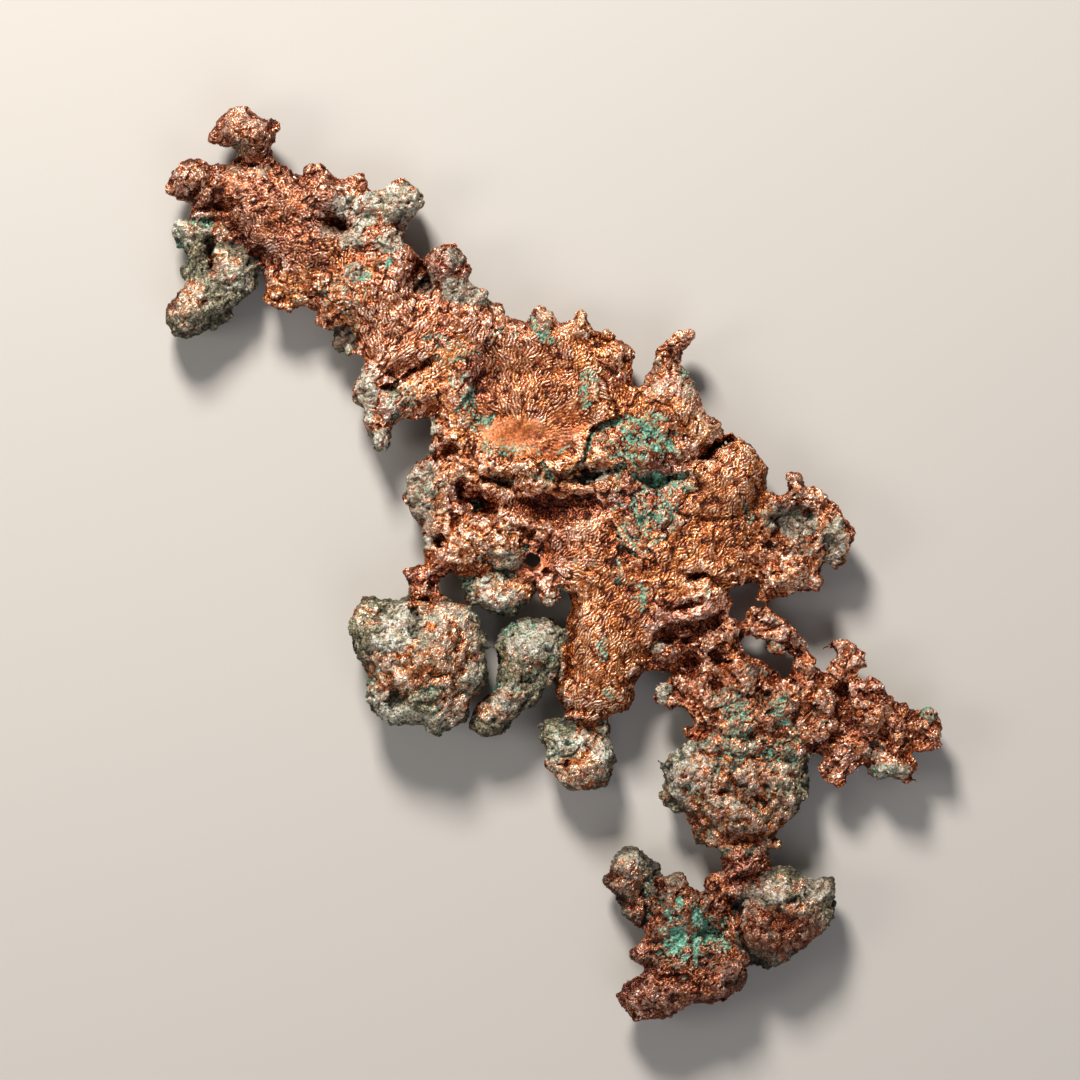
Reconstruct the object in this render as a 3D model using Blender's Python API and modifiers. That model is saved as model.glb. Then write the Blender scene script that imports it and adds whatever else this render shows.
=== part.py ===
"""A native copper nugget: one branching sheet of copper with lumps of its rock grown into it, lying flat.

X runs to the right in plan, Y to the back and Z up. The floor is Z = 0, under the middle of the piece. Plan
points and heights below are millimetres. The copper is split at its main forks, and its edges are written as
runs: a run ends where the copper meets its next fork or a lump of rock, and both sides share that run.
"""

import math

import bmesh
import bpy
import numpy as np
from mathutils import Vector, noise

MM = 0.001
CLEARANCE = 0.42  # left between two pieces that meet
VOXEL = 0.8  # grain of the modelled skin
FACE_AREA = 3.15  # mean area of one triangle of the finished skin
SMOOTHING = 3  # passes over the modelled skin
BLANK = 5.0  # half height of the flat blank that each piece is shaped from

# The sheet: the height of its middle, how far its skins stand from that, and how its edge rounds off
SHEET_MIDDLE = 7.5
SHEET_RISE = 4.2
SHEET_DEPTH = 6.6
EDGE_HALF = 1.1
EDGE_ROUND = 5.5
THINNEST = 2.4
ROCK_EDGE = 0.12  # half height of a rock lump's edge, as a share of its rise
BRANCH_DROP = 1.5  # how far the lower right branch lies under the plate's skin

# Uneven growth of the skins: (size of a lump, its height), coarse and fine
COPPER_GROWTH = [(9.0, 0.9), (3.6, 0.55)]
ROCK_GROWTH = [(6.0, 0.8), (2.8, 0.6)]

# Colours as linear red, green and blue
COPPER_COLOUR = (0.52, 0.17, 0.06)
COPPER_DARK_COLOUR = (0.33, 0.10, 0.05)
ROCK_COLOUR = (0.22, 0.18, 0.13)
PALE_ROCK_COLOUR = (0.34, 0.31, 0.25)

# Runs where one fork of the copper meets the next
LIMB_TO_PLATE = [
    (-28.4, 54.8), (-31.8, 51.2), (-35.8, 46.8), (-39.4, 43.2),
]
PLATE_TO_LEG = [
    (19.4, -9.6), (15.2, -8.6), (9.2, -7.6), (2.8, -7),
]
PLATE_TO_BRANCH = [
    (33.6, -9.6), (30.4, -10.6), (26.8, -11.2), (22.8, -12.4), (19.6, -13.8),
]
LEG_TO_BRANCH = [
    (19.6, -13.8), (19.2, -16.2), (18.8, -18.6),
]
PLATE_TO_KNOB = [
    (39.8, 11.4), (39.6, 7), (40.4, 3.2), (40.6, -0.4),
]

# Runs where the copper meets a lump of rock
CONTACT_UPPER_NODULE = [
    (-59.2, 61.2), (-61, 62.8), (-63, 64.2), (-64.2, 66.4), (-65.4, 68.4), (-67.6, 69.6),
    (-70.2, 69.6), (-72.8, 70),
]
CONTACT_CHIP = [
    (-39.6, 43.8), (-39.6, 46), (-40.8, 47.6), (-42.6, 48.4), (-44.2, 48),
]
CONTACT_INNER = [
    (-3.6, -3.8), (-6, -2.8), (-9.2, -0.8), (-12.8, -0.6), (-16, -1.6), (-19.2, -2.2),
]
CONTACT_BIG = [
    (-21.4, -5.8), (-23.4, -6.4), (-25.2, -7), (-27.6, -6.6), (-29, -5),
]
CONTACT_FOOT = [
    (11.4, -30.6), (8.8, -31.6), (5.2, -31.8), (2.6, -30.4),
]
CONTACT_BEAN = [
    (2.6, -20.4), (2.2, -17.2), (2.6, -13.4),
]
CONTACT_SHIELD_TOP = [
    (51.6, -37.8), (48.2, -37), (43.2, -36.4), (37.6, -35.8), (32.8, -35.2), (28, -35.2),
]
CONTACT_SHIELD_FOOT = [
    (43.2, -56.4), (39.2, -57), (34.4, -57.6),
]
CONTACT_BOTTOM_RIGHT = [
    (42.8, -61.2), (40.4, -63), (38, -64.8), (35.8, -67.4), (35.2, -72), (36.6, -75.2),
]
CONTACT_BOTTOM_LEFT = [
    (19.2, -71.6), (19.2, -67), (20.4, -64.2), (21.6, -62),
]

# Free edges of the copper
UPPER_LIMB_BACK = [
    (-74.2, 70.8), (-72.8, 72.2), (-73, 73.2), (-75.2, 73.2), (-77.2, 74), (-77.4, 76.2),
    (-76.6, 78.6), (-74.8, 80.4), (-73.4, 81.4), (-72, 82), (-70, 81.2), (-68.8, 79.8),
    (-67, 80.6), (-65.4, 79.6), (-64.8, 81.2), (-63.6, 82.2), (-64.4, 83), (-66.4, 83.4),
    (-68, 84.4), (-68.4, 86.4), (-67.6, 88.6), (-65.8, 90.8), (-64, 91.8), (-61.4, 92),
    (-59.8, 91), (-59.4, 89.8), (-57.6, 89.6), (-56, 88.6), (-55.2, 87.2), (-55.4, 84.8),
    (-56.8, 83.2), (-56.2, 82.2), (-55, 81), (-54.2, 80.2), (-52.6, 79), (-51.2, 77.6),
    (-50.2, 76.6), (-49.4, 77.6), (-49, 79.2), (-47, 79.6), (-44.6, 78.8), (-42.2, 77.8),
    (-40.8, 77.2), (-38, 77.8), (-37, 76.2), (-36.2, 75), (-35.2, 75.8), (-33, 76), (-30.6, 76.8),
    (-28.2, 76.4), (-26.6, 74.8), (-26, 73), (-26.8, 70.8), (-29.2, 69.2), (-30.6, 67.4),
    (-29.6, 65), (-28.2, 63.8), (-26.4, 61.8), (-25.6, 59.4), (-26.8, 56.8),
]
UPPER_LIMB_FRONT = [
    (-46, 47.2), (-47.6, 48), (-47.4, 49.8), (-48.8, 51.4), (-51.8, 51.4), (-54.6, 52.2),
    (-57, 53.4), (-58.2, 55.2), (-57.8, 57.4), (-57.4, 60),
]
PLATE_TOP = [
    (-26.8, 53.6), (-24.8, 55), (-25.2, 57.8), (-26, 60.4), (-24.8, 63.2), (-22.8, 63.6),
    (-21.2, 64.2), (-19.8, 63.2), (-18.2, 62.2), (-17, 59.4), (-17, 56.8), (-15.2, 55.8),
    (-13.6, 54.2), (-12.6, 52.4), (-10.2, 52), (-9.2, 49.4), (-6.8, 49), (-4.6, 49.6), (-4, 51.2),
    (-2.4, 51.6), (-0.6, 50.4), (0.6, 49), (3, 49.2), (5, 50.2), (6.8, 48.8), (7.6, 47),
    (9.8, 46.2), (11.4, 44.6), (15, 44.4), (16.6, 43), (16.2, 40.2), (15.6, 37.2), (17.8, 37),
    (18.8, 39.4), (20.6, 40), (20.6, 42.6), (22.6, 44.8), (25.2, 46.8), (27.4, 47), (28.6, 45.8),
    (27.4, 44.4), (25.8, 43.2), (25.2, 40.4), (26.8, 38.2), (28.6, 35), (30.8, 31), (33.2, 29),
    (34, 27.2), (34.6, 26.2), (36.4, 26.6), (38.6, 24.8), (40.8, 22.4), (42.4, 20), (42.8, 18.2),
    (42.2, 14.6), (41, 13.2),
]
PLATE_LOWER_RIGHT = [
    (40.2, -3.2), (38.4, -4.6), (35.8, -4.6), (34, -4), (35.4, -6.2), (35.6, -8),
]
PLATE_UNDER = [
    (2.4, -5.2), (0.4, -4.4), (0, -7), (-1.6, -8), (-2.6, -5.8),
]
PLATE_STALK = [
    (-21.6, -1.2), (-22.2, -3), (-23.4, -2.4), (-24, -3.8),
]
PLATE_LEFT = [
    (-29.8, -2.8), (-29.6, -1.2), (-27.8, -0.2), (-26.2, 0.6), (-27, 3), (-26.8, 5.6), (-27, 7.6),
    (-28.8, 9), (-29.6, 12), (-29.6, 15.4), (-30, 18.6), (-28, 19.8), (-25.2, 21.2), (-26, 23.6),
    (-25.2, 25.6), (-24.6, 28), (-22.8, 29.6), (-24.8, 29.6), (-27.2, 29.2), (-29.8, 28.2),
    (-31.8, 26.4), (-32.2, 23.8), (-34, 22.4), (-36, 23.2), (-36.8, 25.4), (-38.4, 28.8),
    (-38, 31.4), (-40.4, 33), (-40.8, 35.2), (-39.8, 38), (-38.4, 39.8), (-38.6, 41.4),
    (-40.8, 42.4),
]
PLATE_HOLE = [
    (-5.4, 2.8), (-3.6, 1.8), (-2.8, 0.4), (-3.6, -0.6), (-5, -0.4), (-5.8, 1.2),
]
LEG_LEFT = [
    (2.6, -10),
]
LEG_LOWER_LEFT = [
    (1.8, -28.4), (0.4, -26.8), (0.4, -24.6), (1.6, -22.4),
]
LEG_RIGHT = [
    (18.4, -20.8), (16.8, -23), (17.2, -27.6), (14.2, -28.8),
]
KNOB_EDGE = [
    (41, -4.8), (42.2, -7), (46.2, -6.6), (49.8, -5.6), (53.4, -4.2), (54.6, -2.4), (53.6, -0.4),
    (55.4, 0.8), (57.2, -0.4), (58.6, 1.8), (59.8, 4.2), (60.4, 6.2), (59.2, 7.2), (58.2, 10.4),
    (55.8, 12.8), (53.4, 15.2), (51.4, 15.6), (49.4, 16.6), (48.2, 18), (47, 17.4), (46.8, 14.6),
    (44.4, 14.6), (43.4, 13.2), (41.6, 12.8),
]
BRANCH_TOP = [
    (36.2, -9.4), (38.2, -11), (39.6, -10.6), (38.6, -9), (40.8, -8.8), (43.4, -9.6),
    (45.4, -11.8), (47.8, -13), (49.6, -14.6), (51.2, -15.4), (50.8, -17.4), (52.6, -18),
    (53, -20.2), (54.8, -20.8), (56.8, -19.2), (57.4, -17.4), (54, -16.6), (55.6, -15.6),
    (59.8, -15.2), (60.4, -17.2), (62.4, -18.2), (62.2, -20.6), (60.8, -21.4), (62, -24.6),
    (63.4, -26), (63.4, -23.2), (64.6, -22.8), (66.4, -25.2), (69.2, -27.4), (71.6, -29.4),
    (73.2, -29), (73.8, -27.6), (76.2, -27.4), (77.4, -30), (78.4, -33.2), (77.8, -36.4),
    (74.8, -36.8), (71.8, -35.6), (71.4, -37.4), (73.6, -40.6), (72.8, -42.6), (70, -43.8),
    (67.8, -42.8), (65, -43.6), (63.4, -41.6), (61.6, -39.4), (60.2, -41), (58, -43.2),
    (54.6, -44), (55.6, -41.6), (54, -38.4),
]
BRANCH_LEFT = [
    (29.2, -33.2), (27.2, -31), (25.8, -28.6), (23.2, -26.6), (22.4, -27.8), (21, -27.4),
    (20, -24), (21.6, -23), (23.4, -24), (23.4, -21), (20.8, -21.2),
]
BRANCH_HOLE = [
    (38.4, -14.6), (41.6, -14.2), (42.8, -16.6), (45.2, -18), (48.4, -18), (48.6, -20.6),
    (47.2, -22.6), (44.8, -20.6), (41.6, -19.4), (38.2, -17.4),
]
FORK_LEFT = [
    (34.8, -59.8), (32.6, -61.2), (31, -62.8), (30.4, -65), (28.6, -65.4), (26.4, -63),
    (25.6, -61.4), (23.6, -61),
]
FORK_LOWER = [
    (18.2, -74), (16, -76.8), (14.6, -78.4), (15.8, -79.8), (19.2, -80.4), (18.8, -82.6),
    (17.4, -81.2), (16.2, -81.4), (16.2, -83.2), (13.4, -85.2), (12.8, -87.2), (14.4, -89.6),
    (16.8, -92), (19.6, -91), (24.2, -90.2), (26.2, -87.8), (29.2, -87.2), (30.6, -88.2),
    (34, -87), (36.8, -85), (38.8, -82.6), (38, -79.4),
]
FORK_RIGHT = [
    (43.8, -58.6),
]

# Free edges of the rock
UPPER_NODULE_REST = [
    (-74.8, 69.8), (-76.2, 68.6), (-76.6, 67), (-76.2, 65.8), (-74.8, 64.4), (-73.2, 62.4),
    (-73.2, 60.6), (-74.4, 58.8), (-74, 56.8), (-75, 54.6), (-76.8, 52.8), (-78, 50.8),
    (-77.8, 48.6), (-76.2, 46.6), (-73.2, 45.4), (-71.2, 46.2), (-68.4, 47.2), (-66.4, 48.8),
    (-64.4, 50.4), (-63.8, 52.6), (-61.8, 54), (-59.8, 55.2), (-59.2, 56.8), (-58.6, 59.2),
]
CHIP_REST = [
    (-44, 44), (-43, 42.6), (-41.2, 42.6),
]
INNER_REST = [
    (-18.2, -4), (-17, -6.2), (-15.2, -8.2), (-13, -9.6), (-10.4, -10.4), (-7.8, -10),
    (-5.8, -8.6), (-4.6, -6.6),
]
BIG_REST = [
    (-29.8, -6), (-31.4, -7), (-33.4, -6.4), (-35.6, -6.8), (-37.6, -6.4), (-39.2, -7.8),
    (-40.6, -9.6), (-41.4, -12), (-41, -14.6), (-39.8, -17), (-37.8, -19.4), (-36.8, -22.6),
    (-37.8, -24.6), (-37.6, -26.8), (-36.6, -29.2), (-34.4, -31.4), (-31.6, -32.4), (-28.8, -32),
    (-26.4, -32.2), (-24.2, -34), (-22.4, -34.2), (-21.2, -33), (-19.4, -32.2), (-17.4, -30),
    (-17, -27.8), (-15.4, -25.8), (-13.4, -24.2), (-13, -22.2), (-13.6, -19.6), (-13.4, -17.4),
    (-13.6, -14.8), (-14.4, -12.4), (-15.2, -9.6), (-16.8, -7.6), (-19, -6.6),
]
BEAN_REST = [
    (2, -13.4), (1, -11.6), (-0.6, -10.6), (-2.8, -11), (-5, -10.8), (-7.6, -10.8), (-9.2, -12.2),
    (-10.8, -13.6), (-12, -15.2), (-12.4, -16.6), (-11.2, -18), (-11, -21.2), (-11.8, -23.2),
    (-12.6, -25.2), (-14.2, -26.6), (-15.6, -28), (-16.2, -30), (-17.2, -32.4), (-16, -33.8),
    (-13, -34.2), (-9.8, -33), (-7.2, -31), (-5.2, -29), (-2.8, -27), (-1.8, -25), (-0.4, -23.8),
    (1, -22.4),
]
FOOT_REST = [
    (0.4, -30.2), (-1.8, -30.8), (-2.6, -32.4), (-1.8, -37.4), (-1.4, -40.6), (0.2, -42.4),
    (1.8, -44.4), (3.8, -45.6), (7, -45.6), (9.6, -44.6), (11.4, -43.4), (11.8, -41.4),
    (12.6, -38.8), (12.4, -36.6), (11.4, -34),
]
SHIELD_LEFT = [
    (25.6, -36.4), (23.6, -38), (21.2, -39.6), (21.2, -41.2), (22.2, -42), (21.6, -45),
    (23, -47.8), (25.8, -49.4), (28, -50.2), (29.8, -52.8), (30.2, -54.6), (28.8, -56),
    (31.6, -56.8),
]
SHIELD_RIGHT = [
    (45.6, -56.6), (46, -55.4), (44.2, -54.2), (46.6, -51.8), (49.2, -49.6), (50.8, -47),
    (51.4, -44.6), (50.6, -41.8),
]
BOTTOM_LEFT_REST = [
    (21.8, -60.2), (19.6, -59), (17.6, -57.6), (16, -56.6), (14.2, -57), (12.4, -57.4),
    (11.2, -59.2), (11, -61.2), (9.8, -63), (10.4, -64.4), (12.2, -65.8), (14.4, -67.8),
    (16.6, -70.2),
]
BOTTOM_RIGHT_REST = [
    (38.4, -77.6), (40.8, -79.4), (43.8, -80.4), (46.8, -79.8), (49, -78.4), (50.2, -76.2),
    (52.8, -74.2), (55.6, -71.6), (56.4, -68.6), (56.8, -64.6), (56, -62.6), (54.4, -62.2),
    (51.8, -62.8), (50.2, -61.6), (47.6, -60.6), (44.8, -59.8),
]

# Soft lumps and hollows: x, y, half length, half width, turn in degrees, rise
TOP_RELIEF = [
    (-62.2, 86.6, 6.4, 5.6, 0, 2.6),  # top knob
    (-59.6, 80.8, 5.2, 1.4, 0, -1.8),  # crease under the top knob
    (-72.8, 77.4, 4.4, 3.6, 0, 1.6),  # lobe at the far left
    (-66.4, 71.4, 3.2, 1.4, 0, -1.6),  # small hollow beside the knob
    (-53.8, 68, 12, 6, -35, 1.4),  # swell along the upper limb
    (-43.2, 67.8, 3.4, 1.8, -20, -2.4),  # hollow in the upper limb
    (-46.8, 74, 5.2, 2.4, -20, 1.4),  # ridge behind the hollow
    (-30.4, 72.8, 4, 3.4, 0, 2.2),  # lobe at the limb's back
    (-35.8, 53, 9.2, 4, -40, 1.2),  # swell where the limb joins
    (-27, 59.4, 1.8, 4.8, 0, -3.6),  # low shelf beside the join
    (-21.2, 61, 4.4, 3.4, 0, 2.2),  # cluster above the plate
    (-18.4, 54.6, 5.2, 1.8, -15, 1.2),  # pale ridge of the cluster
    (-1.8, 48.6, 2.8, 2.2, 0, 1.6),  # lump on the plate's back edge
    (5.6, 47.8, 2.8, 2.4, 0, 1.8),  # lump on the plate's back edge
    (13.2, 42.6, 4, 2.6, 0, 1.4),  # lump on the plate's back edge
    (25.2, 45, 2.8, 2.8, -40, 0.6),  # horn
    (-4.8, 32.6, 14.4, 11.2, 0, -4.4),  # fan-shaped bowl
    (-18.8, 32, 2.6, 10.4, -12, 1.8),  # left rim of the bowl
    (9.2, 34, 2.8, 8, 20, 1.6),  # right rim of the bowl
    (-5.2, 19.8, 13.2, 1.8, 0, 2.4),  # front lip of the bowl
    (5.8, 24, 2.4, 3.4, 15, 1.8),  # knuckle at the lip's end
    (-30, 38.8, 4.4, 1.8, 25, -3),  # dark wedge above the spur
    (-34.8, 34, 4, 5.2, 10, 1),  # spur
    (-34.8, 25, 2.6, 2.2, 0, 1.6),  # tip of the spur
    (-18.8, 14.2, 1.8, 2.2, 0, -2.8),  # pit left of the cavity
    (-14.6, 11.2, 2.2, 2.4, 0, -2.8),  # pit left of the cavity
    (-21.4, 22.6, 2.6, 1.2, 0, -2.6),  # pocket in the left edge
    (-23.4, 4.8, 1.4, 1.6, 0, -2.2),  # pit at the left edge
    (-25.8, 13, 2.8, 6, 0, 0.8),  # left edge
    (0.4, 11.8, 8.4, 3, 0, -6),  # main cavity
    (7.8, 18.2, 4.4, 1.4, 0, -4.2),  # eye-shaped slot
    (-10.4, 16.8, 3, 1, 0, -3),  # slot below the lip
    (8.4, 15.6, 4.4, 1, 0, 1.2),  # lip below the slot
    (-1.2, 3.4, 6, 4, 0, -2.4),  # little fan below the cavity
    (-14.8, 4, 6.8, 3.2, 10, 1.2),  # swell above the inner nodule
    (18.8, 21.8, 3.6, 2.6, 0, 2.2),  # block on the plate
    (20.8, 17.4, 5.6, 1, 0, -3.2),  # hollow under the block
    (25.2, 32, 8.8, 7.2, -40, 2.2),  # shoulder at the upper right
    (32.2, 23.6, 4.2, 1.4, 30, -4.6),  # slot under the shoulder
    (36.6, 17.4, 5.6, 7.6, 0, 1.4),  # right lobe
    (32.2, 9.8, 5.2, 0.8, 5, -1.2),  # crease across the right lobe
    (13.2, 1, 10.4, 8, 0, 0.8),  # lower plate
    (28.8, -2, 2.4, 1.2, 0, -2.6),  # hollow in the lower right
    (26, -8.4, 2.8, 1, 10, -2.4),  # hollow near the branch
    (9.2, -18, 6, 10.4, 0, 1.8),  # swell of the leg
    (17.2, -25, 2, 3.2, 0, -1),  # hollow in the leg's side
    (48.2, 8, 5.8, 4.8, 0, -4),  # bowl of the right knob
    (56.2, 7, 1.8, 4.4, 0, 1),  # rim of the knob
    (47.2, -2.6, 6.8, 2.4, 0, 1.8),  # front rim of the knob
    (47.2, 14.2, 4.8, 1.8, 10, 1.4),  # back rim of the knob
    (26.8, -13.6, 6.8, 1.8, 10, -2.2),  # step down under the plate's edge
    (22.8, -17.4, 2.8, 2.4, 0, 1.4),  # round lobe by the leg
    (27.2, -19.4, 1.8, 3.2, 20, -3),  # dark hollow by the lobe
    (37.2, -30, 10, 4, 0, 1.2),  # swell of the branch
    (31.6, -25, 3.2, 2, 30, -1.4),  # dip in the branch
    (44.4, -11.4, 3.6, 2.4, -25, 1),  # arm
    (49.2, -27, 5.2, 2.8, 0, 1),  # ridge of the branch
    (58.2, -27, 2.8, 4.8, 20, -1.6),  # dip before the tips
    (66.2, -30.6, 6, 4, -35, 1.4),  # ridge to the right tip
    (57.6, -17, 2.8, 1.4, 0, 0.8),  # flag
    (66.2, -40, 3.6, 2.4, 0, 1.2),  # lower right tip
    (49.2, -38, 4.4, 1.2, 0, -1.2),  # crease above the shield
    (38.2, -60.2, 4, 1.6, 10, 0.8),  # neck of the fork
    (26.2, -67, 3.2, 5.2, 0, 1.6),  # left tine of the fork
    (30.8, -73.4, 3.2, 3.2, 0, -1.8),  # green hollow of the fork
    (22.2, -86, 6.8, 3.6, -15, 1.6),  # foot of the fork
    (32.2, -82, 5.2, 3.6, -25, 0.8),  # right side of the fork
]
UNDER_RELIEF = [
    (13.2, 17, 6.8, 6.8, 0, 2.6),  # main rest
    (-60.8, 72, 8, 5.2, -20, 2.9),  # rest of the upper limb
    (-44.8, 59, 6.8, 4, -30, 1.2),  # swell under the limb
    (-16.8, 43, 6, 4.8, 0, -2),  # hollow under the plate
    (29.2, 27, 6.8, 5.2, 0, -1.8),  # hollow under the shoulder
    (47.2, 4, 6.8, 6, 0, 2.2),  # rest of the knob
    (67.2, -33, 6, 4.8, 0, 2.9),  # rest of the right tips
    (35.2, -25, 8, 4, 0, 1.2),  # rest of the branch
    (25.2, -82, 7.2, 5.6, 0, 2.8),  # rest of the fork
    (9.2, -19, 5.2, 8, 0, 1),  # rest of the leg
    (-1.8, 5, 8, 4, 0, -1.4),  # hollow under the cavity
    (-33.8, 31, 4, 5.2, 0, -1.4),  # hollow under the spur
]
UPPER_NODULE_LUMPS = [
    (-74.4, 65.8, 2.4, 3.2, 0, 1),  # upper knuckle
    (-69.2, 61.8, 1.6, 3.6, 10, -3),  # dark hollow
    (-63.2, 58, 3.6, 3, 0, 1.2),  # right shoulder
    (-72.8, 50.6, 5.2, 4, 0, 1.6),  # lower ball
]
BIG_NODULE_LUMPS = [
    (-33.8, -13.4, 6.8, 5.6, 0, 1.6),  # upper left shoulder
    (-21.4, -13.4, 6, 5.6, 0, 1.8),  # upper right shoulder
    (-28.2, -9.4, 1.6, 1.4, 0, -2.4),  # pit
    (-31.8, -26.6, 2.2, 2, 0, -3),  # pit
    (-27.6, -12, 1, 4.4, 0, -1.6),  # crease between the shoulders
    (-19.8, -25, 4.8, 4.4, 0, 1.2),  # lower right lobe
    (-26.8, -20, 8, 1.6, 10, 0.8),  # ridge
]
BEAN_NODULE_LUMPS = [
    (-3.8, -16, 5.2, 4, 0, 1.6),  # upper lobe
    (-9.8, -26.6, 5.2, 3.2, 35, 1),  # lower lobe
    (-14.8, -32.6, 2.8, 1.4, 0, -2),  # low lip
]
FOOT_NODULE_LUMPS = [
    (1.2, -34, 2.4, 2, 0, 1.2),  # left lump
    (5.6, -35.6, 2, 1.8, 0, 1.6),  # white lump
    (8.8, -39, 2, 2.8, 0, 1.2),  # right lump
    (3.2, -39.4, 2, 1.6, 0, -1.4),  # hollow
]
INNER_NODULE_LUMPS = [
    (-10.8, -7, 3.6, 2, 0, 1.2),  # lower lump
    (-14.8, -3.4, 1.8, 1.4, 0, 0.8),  # left lump
]
SHIELD_LUMPS = [
    (29.2, -42, 5.2, 4, 0, 1.2),  # left shoulder
    (42.2, -42, 5.2, 3.6, 0, 1),  # right shoulder
    (36.2, -50, 5.2, 3.2, 0, 1.2),  # lower swell
    (41.2, -47, 2.4, 2, 0, -1.4),  # dark hollow
    (38.2, -54.6, 4.4, 1.4, 0, -1.2),  # step to the neck
]
BOTTOM_LEFT_LUMPS = [
    (15.2, -60, 3.6, 2.6, 0, 1.4),  # head
    (17.2, -65.6, 1.6, 1.8, 0, -1.6),  # notch
]
BOTTOM_RIGHT_LUMPS = [
    (42.2, -66, 4.8, 2.8, 15, 1.6),  # white ridge
    (52.2, -65.6, 3.2, 2.4, 0, 1.2),  # right shoulder
    (47.2, -75, 5.2, 2.8, 0, 0.8),  # lower swell
    (44.2, -61, 1.8, 1, 0, -1.4),  # dark notch
]

# Every edge that the copper's skin rounds off at, as open runs and closed holes
COPPER_EDGES = [
    LIMB_TO_PLATE[-1:] + CONTACT_CHIP + UPPER_LIMB_FRONT + CONTACT_UPPER_NODULE + UPPER_LIMB_BACK
    + LIMB_TO_PLATE[:1] + PLATE_TOP + PLATE_TO_KNOB[:1],
    PLATE_TO_KNOB[-1:] + PLATE_LOWER_RIGHT + PLATE_TO_BRANCH[:1] + BRANCH_TOP + CONTACT_SHIELD_TOP
    + BRANCH_LEFT + LEG_TO_BRANCH[-1:] + LEG_RIGHT + CONTACT_FOOT + LEG_LOWER_LEFT + CONTACT_BEAN
    + LEG_LEFT + PLATE_TO_LEG[-1:] + PLATE_UNDER + CONTACT_INNER + PLATE_STALK + CONTACT_BIG
    + PLATE_LEFT + LIMB_TO_PLATE[-1:],
    PLATE_TO_KNOB[-1:] + KNOB_EDGE + PLATE_TO_KNOB[:1],
    CONTACT_SHIELD_FOOT + FORK_LEFT + CONTACT_BOTTOM_LEFT[::-1] + FORK_LOWER + CONTACT_BOTTOM_RIGHT[::-1]
    + FORK_RIGHT + CONTACT_SHIELD_FOOT[:1],
    PLATE_HOLE + PLATE_HOLE[:1],
    BRANCH_HOLE + BRANCH_HOLE[:1],
]


def clear_scene():
    for thing in list(bpy.data.objects):
        bpy.data.objects.remove(thing, do_unlink=True)


def new_collection(name):
    group = bpy.data.collections.new(name)
    bpy.context.scene.collection.children.link(group)
    return group


def new_material(name, colour, roughness, metallic):
    material = bpy.data.materials.new(name)
    material.use_nodes = True
    shader = material.node_tree.nodes["Principled BSDF"]
    shader.inputs["Base Color"].default_value = (*colour, 1)
    shader.inputs["Roughness"].default_value = roughness
    shader.inputs["Metallic"].default_value = metallic
    return material


def plan_distance(points, edges):
    """How far each plan point lies from the nearest of the edges, which are open runs of points."""
    nearest = np.full(len(points), np.inf)
    for edge in edges:
        corners = np.array(edge, float)
        for start, end in zip(corners[:-1], corners[1:]):
            along = end - start
            part = np.clip((points - start) @ along / max(along @ along, 1e-9), 0, 1)
            nearest = np.minimum(nearest, np.linalg.norm(points - start - part[:, None] * along, axis=1))
    return nearest


def relief(points, lumps):
    """Sum of soft lumps: each is rise * exp(-r^3), where r is 1 on its ellipse."""
    total = np.zeros(len(points))
    for x, y, length, width, turn, rise in lumps:
        angle = math.radians(turn)
        across = points - (x, y)
        u = (across[:, 0] * math.cos(angle) + across[:, 1] * math.sin(angle)) / length
        v = (across[:, 1] * math.cos(angle) - across[:, 0] * math.sin(angle)) / width
        total += rise * np.exp(-((u * u + v * v) ** 1.5))
    return total


def growth(points, octaves, seed):
    """Uneven growth: smooth noise in space, one layer for each (size, height)."""
    total = np.zeros(len(points))
    for size, height in octaves:
        total += height * np.array([noise.noise(Vector(p) / size + Vector((seed, 0, 0))) for p in points])
    return total


def rounding(distance, reach, fullness):
    """(1 - (1 - d)^2)^fullness: 0 at the edge, 1 from reach inwards. Fullness 0.5 is a quarter ellipse."""
    inside = 1 - np.clip((distance - CLEARANCE / 2) / reach, 0, 1)
    return (1 - inside * inside) ** fullness


def flat_blank(name, outlines):
    """The outlines as a filled curve, extruded to the blank's height, as a closed mesh."""
    curve = bpy.data.curves.new(name + "_outline", "CURVE")
    curve.dimensions = "2D"
    curve.fill_mode = "BOTH"
    curve.extrude = BLANK * MM
    for outline in outlines:
        spline = curve.splines.new("POLY")
        spline.points.add(len(outline) - 1)
        for point, (x, y) in zip(spline.points, outline):
            point.co = (x * MM, y * MM, 0, 1)
        spline.use_cyclic_u = True
    drawn = bpy.data.objects.new(name + "_outline", curve)
    bpy.context.scene.collection.objects.link(drawn)
    graph = bpy.context.evaluated_depsgraph_get()
    mesh = bpy.data.meshes.new_from_object(drawn.evaluated_get(graph))
    bpy.data.objects.remove(drawn, do_unlink=True)
    bpy.data.curves.remove(curve)
    welded = bmesh.new()
    welded.from_mesh(mesh)
    bmesh.ops.remove_doubles(welded, verts=welded.verts, dist=0.01 * MM)
    bmesh.ops.recalc_face_normals(welded, faces=welded.faces)
    welded.to_mesh(mesh)
    welded.free()
    mesh.name = name
    return mesh


def apply_modifiers(piece):
    graph = bpy.context.evaluated_depsgraph_get()
    mesh = bpy.data.meshes.new_from_object(piece.evaluated_get(graph))
    piece.modifiers.clear()
    old = piece.data
    piece.data = mesh
    bpy.data.meshes.remove(old)


def dense_blank(name, outlines, group):
    """An object with an even, dense skin over the blank, drawn in by half the clearance."""
    piece = bpy.data.objects.new(name, flat_blank(name, outlines))
    group.objects.link(piece)
    remesh = piece.modifiers.new("Skin", "REMESH")
    remesh.mode = "VOXEL"
    remesh.voxel_size = VOXEL * MM
    draw_in = piece.modifiers.new("Clearance", "DISPLACE")
    draw_in.strength = -CLEARANCE / 2 * MM
    draw_in.mid_level = 0
    apply_modifiers(piece)
    return piece


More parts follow.
